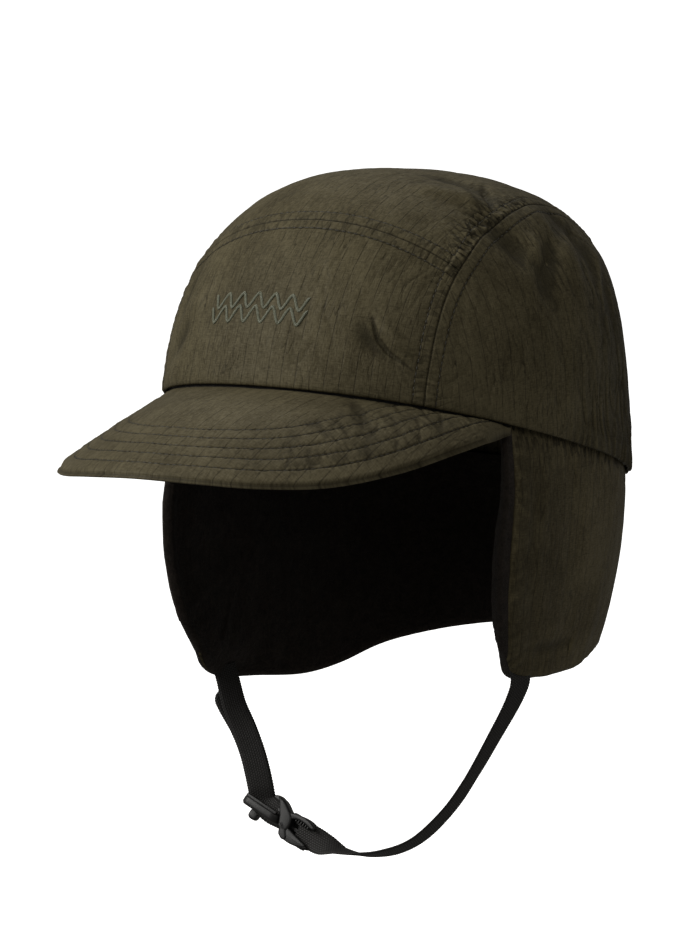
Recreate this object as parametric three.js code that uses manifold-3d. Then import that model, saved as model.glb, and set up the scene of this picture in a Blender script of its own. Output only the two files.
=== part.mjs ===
// Earflap duckbill cap with a chin strap, in millimetres.
// +X is the wearer's left, -Y the front and +Z up. The origin is the centre of the head
// opening, at the height of its rim over the ears. The cap keeps its worn form.

import * as THREE from "three";
import { mergeVertices } from "three/addons/utils/BufferGeometryUtils.js";
import Module from "manifold-3d";

const wasm = await Module();
wasm.setup();

// Driving dimensions

const GAP = 0.3;
// Added to half the gap, so that the facets of two panels stay apart along a bent seam.
const SEAM_SLACK = 0.04;
const CLOTH = 1.2;

const OPENING = { halfWidth: 82, front: 102, back: 99.5, power: 2.1 };
const CROWN = { height: 101, lean: -15.5 };
// Powers of the crown's side outline: rise is that of the height, spread that of the radius.
const CROWN_POWERS = {
  front: { rise: 1.61, spread: 2.12 },
  side: { rise: 3.1, spread: 2.23 },
  back: { rise: 4.64, spread: 2.34 },
};
// The rim lies in one plane, higher at the front.
const RIM = { height: -1, slope: 0.25 };

// Half the width between the two side seams, over the angle lifted from the front rim.
const SIDE_SEAM = {
  columns: ["lift", "halfWidth"],
  rows: [[0, 60], [12, 60.3], [22, 60], [34, 59.4], [46, 59], [54, 58], [60, 57.3], [66, 56.5],
    [73, 54.8], [80, 53], [87, 51], [95, 49.5], [115, 48.5], [150, 48], [180, 47]],
};
// The seam over the brow is a little higher on the wearer's left, by its skew at the side seam.
const FRONT_SEAM = { lift: 38.1, skew: 2.4 };
const BACK_SEAM = { lift: 112, skew: 0 };
// From the middle of the head opening to the two cross seams, where they come nearest to it.
const SEAM_RADIUS = 84;
const SIDE_PANEL_ANGLES = { front: 40, back: 151 };

// Main folds of the soft crown: middle, direction, reach along and across, and depth.
const FOLDS = {
  columns: ["x", "y", "z", "dx", "dy", "dz", "along", "across", "depth"],
  rows: [
    [44, -83, 38, 0.52, 0.4, -0.75, 16, 4.5, -2.2],
    [52, -76, 31, 0.2, 0.2, -1, 12, 4, 1.6],
    [64, -20, 76, 0.5, 0.4, -0.75, 24, 6, -2.4],
    [67, 8, 74, 0.45, 0.1, -0.9, 26, 6, 2.2],
    [66, 28, 66, 0.35, 0.3, -0.9, 24, 6, -2.2],
    [40, -24, 92, 0.8, 0.5, -0.35, 16, 5, 2.2],
    [36, -8, 96, 0.8, 0.3, -0.3, 16, 5, -2],
    [-44, -83, 38, -0.4, 0.4, -0.8, 15, 5, -2],
    [-66, -14, 74, -0.5, 0.3, -0.8, 24, 6, -2.3],
    [-67, 16, 71, -0.45, 0.2, -0.85, 24, 6, 2.2],
    [20, 92, 30, 0.2, 0.1, -1, 26, 7, -2],
    [-24, 92, 34, -0.2, 0.1, -1, 24, 7, -2],
  ],
};
// The rim's seam holds the cloth flat up to about this height over it.
const RIM_HOLDS_FOLDS = 16;
// The elastic at the back gathers the crown's rim into shallow flutes.
const BACK_GATHERS = { from: 112, fullFrom: 134, flutes: 34, depth: 0.8, reach: 22 };

const VISOR = { thickness: 3, edgeThickness: 2, endAngle: 64, dropBelowRim: 1, bulge: 5, bulgeFade: 6 };
// Half of the visor's edge, from the middle of the front to the end over the ear.
const VISOR_EDGE = {
  columns: ["x", "y", "z"],
  rows: [[0, -171.8, -2.7], [24.5, -167.6, -3.7], [44.7, -155.1, -5.4], [61.3, -135, -5.6],
    [73.8, -108.1, -1.8], [80, -80, 3.6], [81.7, -58, 6.9], [80, -40.5, 8]],
};

const SWEATBAND = { inset: 2.1, endAngle: 61.5, above: 20, below: 5 };

// The flaps and the neck are one band. The right flap hangs straighter and further forward.
// Above is how far the band runs up inside the crown, reach how far down its taper is given for.
const FLAP = { inset: 2.4, above: 8, reach: 95, taperBack: 25 };
const FLAP_SIDES = {
  left: { frontAngle: 64.5, swing: 0, flare: 8, taper: 13 },
  right: { frontAngle: 64.5, swing: 6, flare: 9, taper: 2.5 },
};
// The swing, in degrees, is all there at the front edge and gone this far behind it.
const SWING = { fullAt: 63, goneAt: 92, fullDrop: 0.4 };
const LINING = { thickness: 7, standsProud: 2 };
// The flare is full where the cosine of the angle from the front reaches this.
const FLARE_FULL_AT = 0.45;
// Height of the flaps' and the neck's lower edge, left and right, over the angle from the front.
const LOWER_EDGE = {
  columns: ["angle", "left", "right"],
  rows: [[63, -72, -66], [64.5, -78, -72], [68, -86.5, -89], [72, -88.5, -95], [80, -90, -99],
    [95, -90, -100.5], [110, -88.5, -100.5], [125, -85, -97], [140, -82.5, -90.5],
    [155, -81.5, -86], [170, -81, -82.5], [180, -81, -81]],
};

const WEBBING = { width: 10, thickness: 1.2 };
// The strap's middle line. Turn is 0 with the webbing's width along Y, 90 with its face to the front.
const STRAP_COLUMNS = ["x", "y", "z", "turn"];
const LEFT_STRAP = {
  columns: STRAP_COLUMNS,
  rows: [[66.3, -18, -90.5, 4], [63.6, -18, -97, 2], [54.4, -18, -114, 0], [44.6, -18, -129.5, 0],
    [35, -18, -142, 4], [20.5, -18, -155, 10], [8, -18, -160.8, 17], [-5, -18, -163.2, 14],
    [-16.5, -18, -162.6, -4], [-23, -18, -161, -42], [-29, -18, -158.1, -70]],
};
const RIGHT_STRAP = {
  columns: STRAP_COLUMNS,
  rows: [[-68.8, -19, -99.6, 18], [-65.5, -18.6, -109.5, 20], [-61.3, -18, -118.5, 22],
    [-57.5, -18, -127, 30], [-54.6, -18.8, -135, 48], [-52.9, -20.6, -141.5, 70], [-51.6, -22, -147, 79]],
};
const FREE_END = {
  columns: STRAP_COLUMNS,
  rows: [[-73.8, -19.2, -104.2, 14], [-70.4, -18.9, -110, 18], [-65.2, -18.4, -118.5, 24],
    [-60, -16.4, -127, 32], [-57.2, -13.8, -134.5, 52], [-55, -12.6, -141, 74], [-53.4, -13.2, -147, 82]],
};

const BUCKLE = {
  width: 14.5, thickness: 6.6, frameThickness: 5.2, corner: 2, socketLength: 15, insertLength: 15,
  slotWidth: 10.8, wall: 1.4, prongLength: 9.6, prongWidth: 2.4, tongueWidth: 2.2, tongueShorter: 2,
};
// Places along the buckle, from where its halves meet.
const SOCKET_SLOT = { from: 11, to: 13.2 };
const INSERT_SLOTS = [{ from: -13, to: -9.8 }, { from: -7.6, to: -4.4 }];
const SOCKET_WINDOW = { from: 5.6, to: 9 };
const CUT_PAST = 1;
// The middle of the buckle, and its turn as for the straps.
const BUCKLE_PLACE = { x: -43, y: -18, z: -151.5, towardX: 0.905, towardZ: -0.425, turn: 70 };

// Steps of each piece's grid, and of each strap's length
const STEPS = {
  frontPanel: { across: 20, up: 11 },
  topPanel: { across: 18, up: 15 },
  backPanel: { across: 18, up: 15 },
  sidePanel: { round: 26, up: 10 },
  visor: { round: 32, out: 8 },
  sweatband: { round: 24, up: 3 },
  band: { round: 44, up: 8 },
  leftStrap: 30,
  shortStrap: 12,
  corner: 3,
};
// Points closer than this are one.
const SAME_POINT = 1e-4;

// Colours, and how rough each material is

const OLIVE = { color: 0x5d5746, roughness: 0.72, metalness: 0 };
const OLIVE_VISOR = { color: 0x625c4b, roughness: 0.7, metalness: 0 };
const FLEECE = { color: 0x1c1917, roughness: 0.98, metalness: 0 };
const BAND = { color: 0x2a2725, roughness: 0.85, metalness: 0 };
const WEB = { color: 0x2c2a29, roughness: 0.8, metalness: 0 };
const PLASTIC = { color: 0x2a292a, roughness: 0.4, metalness: 0 };

// Small helpers

const radians = THREE.MathUtils.degToRad;
const degrees = THREE.MathUtils.radToDeg;
const lerp = THREE.MathUtils.lerp;
const clamp = THREE.MathUtils.clamp;

function tableRow(table, index) {
  return Object.fromEntries(table.columns.map((name, column) => [name, table.rows[index][column]]));
}

// Smooth values between a table's rows, over its first column.
function lookUp(table, name, at) {
  const column = table.columns.indexOf(name);
  const rows = table.rows;
  let i = 0;
  while (i < rows.length - 2 && at > rows[i + 1][0]) {
    i += 1;
  }
  const slope = (k) => {
    const a = rows[Math.max(k - 1, 0)];
    const b = rows[Math.min(k + 1, rows.length - 1)];
    return (b[column] - a[column]) / (b[0] - a[0]);
  };
  const span = rows[i + 1][0] - rows[i][0];
  const t = clamp((at - rows[i][0]) / span, 0, 1);
  const start = rows[i][column];
  const end = rows[i + 1][column];
  const t2 = t * t;
  const t3 = t2 * t;
  return start * (2 * t3 - 3 * t2 + 1) + slope(i) * span * (t3 - 2 * t2 + t)
    + end * (3 * t2 - 2 * t3) + slope(i + 1) * span * (t3 - t2);
}

// The head opening and the crown

function openingRadius(angle) {
  const length = Math.cos(angle) > 0 ? OPENING.front : OPENING.back;
  const across = Math.abs(Math.sin(angle)) / OPENING.halfWidth;
  const along = Math.abs(Math.cos(angle)) / length;
  return (across ** OPENING.power + along ** OPENING.power) ** (-1 / OPENING.power);
}

const HEAD_CENTRE = new THREE.Vector3(0, 0, RIM.height);
const RAY_REACH = 160;
const HALVINGS = 40;

// Below 1 inside the crown, 1 on its outer face and above 1 outside.
function crownLevel(p) {
  const t = Math.max(p.z, 0) / CROWN.height;
  const y = p.y - CROWN.lean * t;
  const angle = Math.atan2(p.x, -y);
  const end = -y > 0 ? CROWN_POWERS.front : CROWN_POWERS.back;
  const share = Math.abs(Math.cos(angle));
  const rise = lerp(CROWN_POWERS.side.rise, end.rise, share);
  const spread = lerp(CROWN_POWERS.side.spread, end.spread, share);
  return (Math.hypot(p.x, y) / openingRadius(angle)) ** spread + t ** rise;
}

function crownNormal(p) {
  const step = 0.05;
  const slope = (axis) => {
    const ahead = p.clone();
    const behind = p.clone();
    ahead[axis] += step;
    behind[axis] -= step;
    return crownLevel(ahead) - crownLevel(behind);
  };
  return new THREE.Vector3(slope("x"), slope("y"), slope("z")).normalize();
}

// Where the ray from a point inside meets the smooth crown, found by halving a long reach.
function onCrown(from, direction) {
  let near = 0;
  let far = RAY_REACH;
  const p = new THREE.Vector3();
  for (let i = 0; i < HALVINGS; i += 1) {
    const middle = (near + far) / 2;
    p.copy(from).addScaledVector(direction, middle);
    if (crownLevel(p) < 1) {
      near = middle;
    } else {
      far = middle;
    }
  }
  return p;
}

function rimHeight(y) {
  return RIM.height - RIM.slope * y;
}

function rimPoint(angle) {
  const direction = new THREE.Vector3(Math.sin(angle), -Math.cos(angle), RIM.slope * Math.cos(angle));
  return onCrown(HEAD_CENTRE, direction.normalize());
}

// How far the soft cloth stands proud of the smooth crown.
function foldHeight(p) {
  let height = 0;
  for (let i = 0; i < FOLDS.rows.length; i += 1) {
    const fold = tableRow(FOLDS, i);
    const direction = new THREE.Vector3(fold.dx, fold.dy, fold.dz).normalize();
    const offset = p.clone().sub(new THREE.Vector3(fold.x, fold.y, fold.z));
    const along = offset.dot(direction);
    const across = offset.addScaledVector(direction, -along).length();
    height += fold.depth * Math.exp(-((along / fold.along) ** 2) - (across / fold.across) ** 2);
  }
  const aboveRim = Math.max(p.z - rimHeight(p.y), 0);
  height *= 1 - Math.exp(-((aboveRim / RIM_HOLDS_FOLDS) ** 2));
  const angle = Math.atan2(p.x, -p.y);
  const fromStart = degrees(Math.abs(angle)) - BACK_GATHERS.from;
  const share = clamp(fromStart / (BACK_GATHERS.fullFrom - BACK_GATHERS.from), 0, 1);
  const fade = Math.exp(-aboveRim / BACK_GATHERS.reach);
  return height - BACK_GATHERS.depth * share * fade * (1 + Math.cos(angle * BACK_GATHERS.flutes)) / 2;
}

// A point of the crown between the side seams: across from -1 to 1, lift from 0 to 180 degrees.
function stripPoint(across, lift, seamOffset) {
  const x = across * (lookUp(SIDE_SEAM, "halfWidth", lift) - seamOffset);
  const angle = radians(lift) + Math.atan(RIM.slope);
  const direction = new THREE.Vector3(0, -Math.cos(angle), Math.sin(angle));
  return onCrown(new THREE.Vector3(x, 0, RIM.height), direction);
}

// A point of a side panel: lift from 0 to 180 along its seam, share from the rim 0 to the seam 1.
function sidePoint(side, lift, share, seamOffset) {
  const seam = stripPoint(1, lift, -seamOffset);
  const angle = lerp(SIDE_PANEL_ANGLES.front, SIDE_PANEL_ANGLES.back, lift / 180);
  const rim = rimPoint(radians(angle));
  const chord = rim.lerp(seam, share).sub(HEAD_CENTRE).normalize();
  const p = onCrown(HEAD_CENTRE, chord);
  p.x *= side;
  return p;
}

// Closed solids from grids of points

function closedGeometry(positions, triangles) {
  const geometry = new THREE.BufferGeometry();
  geometry.setAttribute("position", new THREE.Float32BufferAttribute(positions, 3));
  geometry.setIndex(triangles);
  const merged = mergeVertices(geometry, SAME_POINT);
  const index = merged.getIndex();
  const kept = [];
  for (let i = 0; i < index.count; i += 3) {
    const [a, b, c] = [index.getX(i), index.getX(i + 1), index.getX(i + 2)];
    if (a !== b && b !== c && c !== a) {
      kept.push(a, b, c);
    }
  }
  merged.setIndex(kept);
  return faceOutward(merged);
}

function faceOutward(geometry) {
  const position = geometry.getAttribute("position");
  const index = geometry.getIndex();
  const corners = [new THREE.Vector3(), new THREE.Vector3(), new THREE.Vector3()];
  let volume = 0;
  for (let i = 0; i < index.count; i += 3) {
    corners.forEach((corner, k) => corner.fromBufferAttribute(position, index.getX(i + k)));
    volume += corners[0].dot(corners[1].clone().cross(corners[2]));
  }
  if (volume < 0) {
    const turned = [];
    for (let i = 0; i < index.count; i += 3) {
      turned.push(index.getX(i), index.getX(i + 2), index.getX(i + 1));
    }
    geometry.setIndex(turned);
  }
  geometry.computeVertexNormals();
  return geometry;
}

// A wall between two grids: face(u, v) gives the outer and the inner point, u and v from 0 to 1.
function wallGeometry(columns, rows, face) {
  const positions = [];
  const triangles = [];
  const perSide = (columns + 1) * (rows + 1);
  const grid = [];
  for (let i = 0; i <= columns; i += 1) {
    for (let j = 0; j <= rows; j += 1) {
      grid.push(face(i / columns, j / rows));
    }
  }
  for (const side of ["outer", "inner"]) {
    for (const points of grid) {
      positions.push(...points[side].toArray());
    }
  }
  const at = (i, j) => i * (rows + 1) + j;
  const quad = (a, b, c, d) => triangles.push(a, b, c, a, c, d);
  for (let i = 0; i < columns; i += 1) {
    for (let j = 0; j < rows; j += 1) {
      const [a, b, c, d] = [at(i, j), at(i + 1, j), at(i + 1, j + 1), at(i, j + 1)];
      quad(a, b, c, d);
      quad(c + perSide, b + perSide, a + perSide, d + perSide);
    }
  }
  const edge = (a, b) => quad(b, a, a + perSide, b + perSide);
  for (let i = 0; i < columns; i += 1) {
    edge(at(i, 0), at(i + 1, 0));
    edge(at(i + 1, rows), at(i, rows));
  }
  for (let j = 0; j < rows; j += 1) {
    edge(at(columns, j), at(columns, j + 1));
    edge(at(0, j + 1), at(0, j));
  }
  return closedGeometry(positions, triangles);
}

function clothWall(smoothPoint) {
  const normal = crownNormal(smoothPoint);
  const outer = smoothPoint.clone().addScaledVector(normal, foldHeight(smoothPoint));
  return { outer, inner: outer.clone().addScaledVector(normal, -CLOTH) };
}

// The crown's panels

const HALF_GAP = GAP / 2 + SEAM_SLACK;
const SEAM_LIFT_GAP = degrees(HALF_GAP / SEAM_RADIUS);
const FRONT_RIM = { lift: -SEAM_LIFT_GAP, skew: 0 };
const BACK_RIM = { lift: 180 + SEAM_LIFT_GAP, skew: 0 };

// A panel between the side seams, from one cross seam or the rim to the next.
function stripPanel(steps, from, to) {
  return wallGeometry(steps.across, steps.up, (u, v) => {
    const across = 2 * u - 1;
    const start = from.lift + from.skew * across + SEAM_LIFT_GAP;
    const end = to.lift + to.skew * across - SEAM_LIFT_GAP;
    return clothWall(stripPoint(across, lerp(start, end, v), HALF_GAP));
  });
}

function sidePanel(side) {
  const { round, up } = STEPS.sidePanel;
  return wallGeometry(round, up, (u, v) => clothWall(sidePoint(side, 180 * u, v, HALF_GAP)));
}

// The visor: a stiff stitched peak that curves down at its ends

const visorCurve = new THREE.CatmullRomCurve3(
  [...VISOR_EDGE.rows.map(([x, y, z]) => new THREE.Vector3(x, y, z)).reverse(),
    ...VISOR_EDGE.rows.slice(1).map(([x, y, z]) => new THREE.Vector3(-x, y, z))],
);

function visorPoint(u, v) {
  const angle = radians(lerp(VISOR.endAngle, -VISOR.endAngle, u));
  const inner = rimPoint(angle);
  inner.addScaledVector(crownNormal(inner).setZ(0).normalize(), -CLOTH);
  inner.z -= VISOR.dropBelowRim;
  const edge = visorCurve.getPointAt(u);
  const p = inner.lerp(edge, v);
  p.z += VISOR.bulge * Math.sin(Math.PI * v) * (1 - Math.abs(2 * u - 1) ** VISOR.bulgeFade);
  return p;
}

function visor() {
  return wallGeometry(STEPS.visor.round, STEPS.visor.out, (u, v) => {
    const outer = visorPoint(u, v);
    const thickness = v < 1 ? VISOR.thickness : VISOR.edgeThickness;
    return { outer, inner: outer.clone().setZ(outer.z - thickness) };
  });
}

// The sweatband inside the front of the crown

function sweatband() {
  return wallGeometry(STEPS.sweatband.round, STEPS.sweatband.up, (u, v) => {
    const angle = radians(lerp(-SWEATBAND.endAngle, SWEATBAND.endAngle, u));
    const rise = lerp(-SWEATBAND.below, SWEATBAND.above, v);
    const centre = HEAD_CENTRE.clone().setZ(RIM.height + rise);
    const direction = new THREE.Vector3(Math.sin(angle), -Math.cos(angle), RIM.slope * Math.cos(angle));
    const p = onCrown(centre, direction.normalize());
    const normal = crownNormal(p);
    p.addScaledVector(normal, Math.min(foldHeight(p), 0));
    return {
      outer: p.clone().addScaledVector(normal, -SWEATBAND.inset),
      inner: p.clone().addScaledVector(normal, -SWEATBAND.inset - CLOTH),
    };
  });
}

// The ear flaps and the neck, one band round the head from one front edge to the other

function bandPoint(angle, z, inset) {
  const side = Math.sin(angle) > 0 ? FLAP_SIDES.left : FLAP_SIDES.right;
  const radius = openingRadius(angle) - inset;
  const drop = Math.max(rimHeight(-radius * Math.cos(angle)) - z, 0) / FLAP.reach;
  const front = clamp(Math.cos(angle) / FLARE_FULL_AT, 0, 1);
  const back = clamp(-Math.cos(angle), 0, 1);
  const taper = lerp(side.taper, FLAP.taperBack, back) * drop * drop;
  const flare = side.flare * front * 4 * drop * Math.max(1 - drop, 0);
  // The front edge swings forward as it goes down.
  const fromFront = degrees(Math.abs(Math.atan2(Math.sin(angle), Math.cos(angle))));
  const nearEdge = clamp((SWING.goneAt - fromFront) / (SWING.goneAt - SWING.fullAt), 0, 1);
  const share = nearEdge * Math.min(drop / SWING.fullDrop, 1) * Math.sign(Math.sin(angle));
  const swing = radians(side.swing) * share;
  const r = radius + flare - taper;
  return new THREE.Vector3(r * Math.sin(angle - swing), -r * Math.cos(angle - swing), z);
}

// The shell and the lining share their columns, so their faces stay parallel. The lining has
// one column more at each end, where its edge stands in front of the shell's.
function bandAngle(column, extra) {
  const start = FLAP_SIDES.left.frontAngle;
  const end = 360 - FLAP_SIDES.right.frontAngle;
  if (column < extra) {
    return start - LINING.standsProud;
  }
  if (column > STEPS.band.round + extra) {
    return end + LINING.standsProud;
  }
  return lerp(start, end, (column - extra) / STEPS.band.round);
}

function bandWall(extra, inset, thickness) {
  const columns = STEPS.band.round + 2 * extra;
  return wallGeometry(columns, STEPS.band.up, (u, v) => {
    const round = bandAngle(Math.round(u * columns), extra);
    const bottom = lookUp(LOWER_EDGE, round < 180 ? "left" : "right", Math.min(round, 360 - round));
    const angle = radians(round);
    const top = rimHeight(-openingRadius(angle) * Math.cos(angle)) + FLAP.above;
    const z = lerp(bottom, top, v);
    return { outer: bandPoint(angle, z, inset), inner: bandPoint(angle, z, inset + thickness) };
  });
}

function flapShell() {
  return bandWall(0, FLAP.inset, CLOTH);
}

function flapLining() {
  return bandWall(1, FLAP.inset + CLOTH + GAP, LINING.thickness);
}

// The chin strap's webbing

function strap(table, steps) {
  const path = new THREE.CatmullRomCurve3(table.rows.map(([x, y, z]) => new THREE.Vector3(x, y, z)));
  const turnColumn = table.columns.indexOf("turn");
  const turns = table.rows.map((row) => row[turnColumn]);
  const positions = [];
  const triangles = [];
  for (let i = 0; i <= steps; i += 1) {
    const t = i / steps;
    const place = t * (turns.length - 1);
    const k = Math.min(Math.floor(place), turns.length - 2);
    const turn = radians(lerp(turns[k], turns[k + 1], place - k));
    const tangent = path.getTangent(t);
    const flat = new THREE.Vector3(-tangent.z, 0, tangent.x).normalize();
    const wide = new THREE.Vector3(0, Math.cos(turn), 0).addScaledVector(flat, Math.sin(turn)).normalize();
    const thick = tangent.clone().cross(wide).normalize();
    for (const [a, b] of [[-1, -1], [1, -1], [1, 1], [-1, 1]]) {
      const corner = path.getPoint(t).addScaledVector(wide, a * WEBBING.width / 2);
      positions.push(...corner.addScaledVector(thick, b * WEBBING.thickness / 2).toArray());
    }
  }
  for (let i = 0; i < steps; i += 1) {
    for (let k = 0; k < 4; k += 1) {
      const [a, b] = [4 * i + k, 4 * i + (k + 1) % 4];
      triangles.push(a, b, b + 4, a, b + 4, a + 4);
    }
  }
  const last = 4 * steps;
  triangles.push(0, 2, 1, 0, 3, 2, last, last + 1, last + 2, last, last + 2, last + 3);
  return closedGeometry(positions, triangles);
}

// The buckle, drawn flat: X along the strap, Y across it, Z through it

function manifoldOf(geometry) {
  const bare = geometry.index ? geometry.toNonIndexed() : geometry.clone();
  bare.deleteAttribute("normal");
  bare.deleteAttribute("uv");
  const merged = mergeVertices(bare, SAME_POINT);
  return new wasm.Manifold(new wasm.Mesh({
    numProp: 3,
    vertProperties: new Float32Array(merged.getAttribute("position").array),
    triVerts: new Uint32Array(merged.getIndex().array),
  }));
}

function geometryOf(solid) {
  const mesh = solid.getMesh();
  const geometry = new THREE.BufferGeometry();
  geometry.setAttribute("position", new THREE.BufferAttribute(mesh.vertProperties, 3));
  geometry.setIndex([...mesh.triVerts]);
  geometry.computeVertexNormals();
  return geometry;
}

function block(x0, x1, width, thickness, y = 0) {
  const box = new THREE.BoxGeometry(x1 - x0, width, thickness);
  box.translate((x0 + x1) / 2, y, 0);
  return manifoldOf(box);
}

// A plate with round corners, from x0 to x1.
function roundPlate(x0, x1, width, thickness, radius) {
  const half = width / 2;
  const shape = new THREE.Shape();
  shape.moveTo(x0 + radius, -half);
  shape.lineTo(x1 - radius, -half);
  shape.absarc(x1 - radius, -half + radius, radius, -Math.PI / 2, 0);
  shape.lineTo(x1, half - radius);
  shape.absarc(x1 - radius, half - radius, radius, 0, Math.PI / 2);
  shape.lineTo(x0 + radius, half);
  shape.absarc(x0 + radius, half - radius, radius, Math.PI / 2, Math.PI);
  shape.lineTo(x0, -half + radius);
  shape.absarc(x0 + radius, -half + radius, radius, Math.PI, Math.PI * 1.5);
  const options = { depth: thickness, bevelEnabled: false, curveSegments: STEPS.corner };
  const plate = new THREE.ExtrudeGeometry(shape, options);
  plate.translate(0, 0, -thickness / 2);
  return manifoldOf(plate);
}

function buckleSocket() {
  const hollowHeight = BUCKLE.thickness - 2 * BUCKLE.wall;
  const hollowLength = BUCKLE.prongLength + 2 * GAP;
  const through = BUCKLE.thickness + 2 * CUT_PAST;
  const body = roundPlate(0, BUCKLE.socketLength, BUCKLE.width, BUCKLE.thickness, BUCKLE.corner);
  const hollow = block(-CUT_PAST, hollowLength, BUCKLE.width - 2 * BUCKLE.wall, hollowHeight);
  const { from, to } = SOCKET_WINDOW;
  const windows = block(from, to, BUCKLE.width + 2 * CUT_PAST, hollowHeight - 2 * GAP);
  const slot = block(SOCKET_SLOT.from, SOCKET_SLOT.to, BUCKLE.slotWidth, through);
  return geometryOf(body.subtract(hollow).subtract(windows).subtract(slot));
}

function buckleInsert() {
  const height = BUCKLE.thickness - 2 * BUCKLE.wall - 2 * GAP;
  const edge = BUCKLE.width / 2 - BUCKLE.wall - GAP - BUCKLE.prongWidth / 2;
  const through = BUCKLE.frameThickness + 2 * CUT_PAST;
  let insert = roundPlate(-BUCKLE.insertLength, -GAP, BUCKLE.width, BUCKLE.frameThickness, BUCKLE.corner);
  for (const { from, to } of INSERT_SLOTS) {
    insert = insert.subtract(block(from, to, BUCKLE.slotWidth, through));
  }
  for (const y of [-edge, edge]) {
    insert = insert.add(block(-CUT_PAST, BUCKLE.prongLength, BUCKLE.prongWidth, height, y));
  }
  const tongueEnd = BUCKLE.prongLength - BUCKLE.tongueShorter;
  return geometryOf(insert.add(block(-CUT_PAST, tongueEnd, BUCKLE.tongueWidth, height)));
}

function placeBuckle(mesh) {
  const along = new THREE.Vector3(BUCKLE_PLACE.towardX, 0, BUCKLE_PLACE.towardZ).normalize();
  const flat = new THREE.Vector3(-along.z, 0, along.x);
  const turn = radians(BUCKLE_PLACE.turn);
  const wide = new THREE.Vector3(0, Math.cos(turn), 0).addScaledVector(flat, Math.sin(turn)).normalize();
  const through = along.clone().cross(wide).normalize();
  mesh.quaternion.setFromRotationMatrix(new THREE.Matrix4().makeBasis(along, wide, through));
  mesh.position.set(BUCKLE_PLACE.x, BUCKLE_PLACE.y, BUCKLE_PLACE.z);
  return mesh;
}

// The assembly

function piece(name, geometry, finish) {
  const mesh = new THREE.Mesh(geometry, new THREE.MeshStandardMaterial(finish));
  mesh.name = name;
  return mesh;
}

const cap = new THREE.Group();
cap.add(
  piece("front_panel", stripPanel(STEPS.frontPanel, FRONT_RIM, FRONT_SEAM), OLIVE),
  piece("top_panel", stripPanel(STEPS.topPanel, FRONT_SEAM, BACK_SEAM), OLIVE),
  piece("back_panel", stripPanel(STEPS.backPanel, BACK_SEAM, BACK_RIM), OLIVE),
  piece("side_panel_left", sidePanel(1), OLIVE),
  piece("side_panel_right", sidePanel(-1), OLIVE),
  piece("visor", visor(), OLIVE_VISOR),
  piece("sweatband", sweatband(), BAND),
  piece("flap_shell", flapShell(), OLIVE),
  piece("flap_lining", flapLining(), FLEECE),
  piece("chin_strap_left", strap(LEFT_STRAP, STEPS.leftStrap), WEB),
  piece("chin_strap_right", strap(RIGHT_STRAP, STEPS.shortStrap), WEB),
  piece("strap_free_end", strap(FREE_END, STEPS.shortStrap), WEB),
  placeBuckle(piece("buckle_socket", buckleSocket(), PLASTIC)),
  placeBuckle(piece("buckle_insert", buckleInsert(), PLASTIC)),
);

export default cap;
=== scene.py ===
"""The looks of an earflap duckbill cap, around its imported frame.

Shapes are worked out in millimetres, with +X to the wearer's left, -Y to the front and +Z up,
and turned to metres as each mesh is made. Angles go round the head from the front to the left.
"""

import math

import bmesh
import bpy
import numpy as np
from mathutils import Matrix, Vector


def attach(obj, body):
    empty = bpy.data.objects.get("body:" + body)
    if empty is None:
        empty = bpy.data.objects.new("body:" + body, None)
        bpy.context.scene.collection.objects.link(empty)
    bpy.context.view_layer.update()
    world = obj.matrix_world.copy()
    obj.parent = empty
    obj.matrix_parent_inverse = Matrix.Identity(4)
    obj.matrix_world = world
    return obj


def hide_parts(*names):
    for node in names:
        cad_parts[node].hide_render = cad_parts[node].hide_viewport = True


MM = 0.001
# The distance from a seam that is given where there is none.
FAR_AWAY = 90.0

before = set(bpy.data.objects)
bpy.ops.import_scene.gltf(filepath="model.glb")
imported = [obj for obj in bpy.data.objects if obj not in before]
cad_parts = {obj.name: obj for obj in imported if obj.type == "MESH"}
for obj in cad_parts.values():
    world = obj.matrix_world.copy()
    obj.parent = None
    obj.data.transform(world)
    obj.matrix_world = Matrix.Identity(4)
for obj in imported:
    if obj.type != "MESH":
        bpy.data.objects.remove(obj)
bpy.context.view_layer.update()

# The cap's sizes, most of them the source's own

CLOTH = 1.2
OPENING = {"half_width": 82, "front": 102, "back": 99.5, "power": 2.1}
CROWN_HEIGHT = 101
CROWN_LEAN = -15.5
# Powers of the crown's side outline, of the height and of the radius.
CROWN_POWERS = {"front": (1.61, 2.12), "side": (3.1, 2.23), "back": (4.64, 2.34)}
RIM_HEIGHT = -1
RIM_SLOPE = 0.25
HEAD_CENTRE = np.array([0, 0, RIM_HEIGHT])

# Half the width between the side seams, over the angle lifted from the front rim.
SIDE_SEAM = {
    "lift": [0, 12, 22, 34, 46, 54, 60, 66, 73, 80, 87, 95, 115, 150, 180],
    "half_width": [60, 60.3, 60, 59.4, 59, 58, 57.3, 56.5, 54.8, 53, 51, 49.5, 48.5, 48, 47],
}
FRONT_SEAM = {"lift": 38.1, "skew": 2.4}
BACK_SEAM = {"lift": 112, "skew": 0}
FRONT_RIM = {"lift": 0, "skew": 0}
BACK_RIM = {"lift": 180, "skew": 0}
SIDE_PANEL_ANGLES = (40, 151)

VISOR_END_ANGLE = 64
VISOR_EDGE = {
    "x": [0, 24.5, 44.7, 61.3, 73.8, 80, 81.7, 80],
    "y": [-171.8, -167.6, -155.1, -135, -108.1, -80, -58, -40.5],
    "z": [-2.7, -3.7, -5.4, -5.6, -1.8, 3.6, 6.9, 8],
}
VISOR_THICKNESS = 3
VISOR_BULGE = 5
# In the looks alone, the visor's ends tuck in and its right side hangs lower.
VISOR_TUCK = 3
RIGHT_HANG = 4

SWEATBAND = {"inset": 2.1, "end_angle": 61.5, "above": 20, "below": 5}

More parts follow.
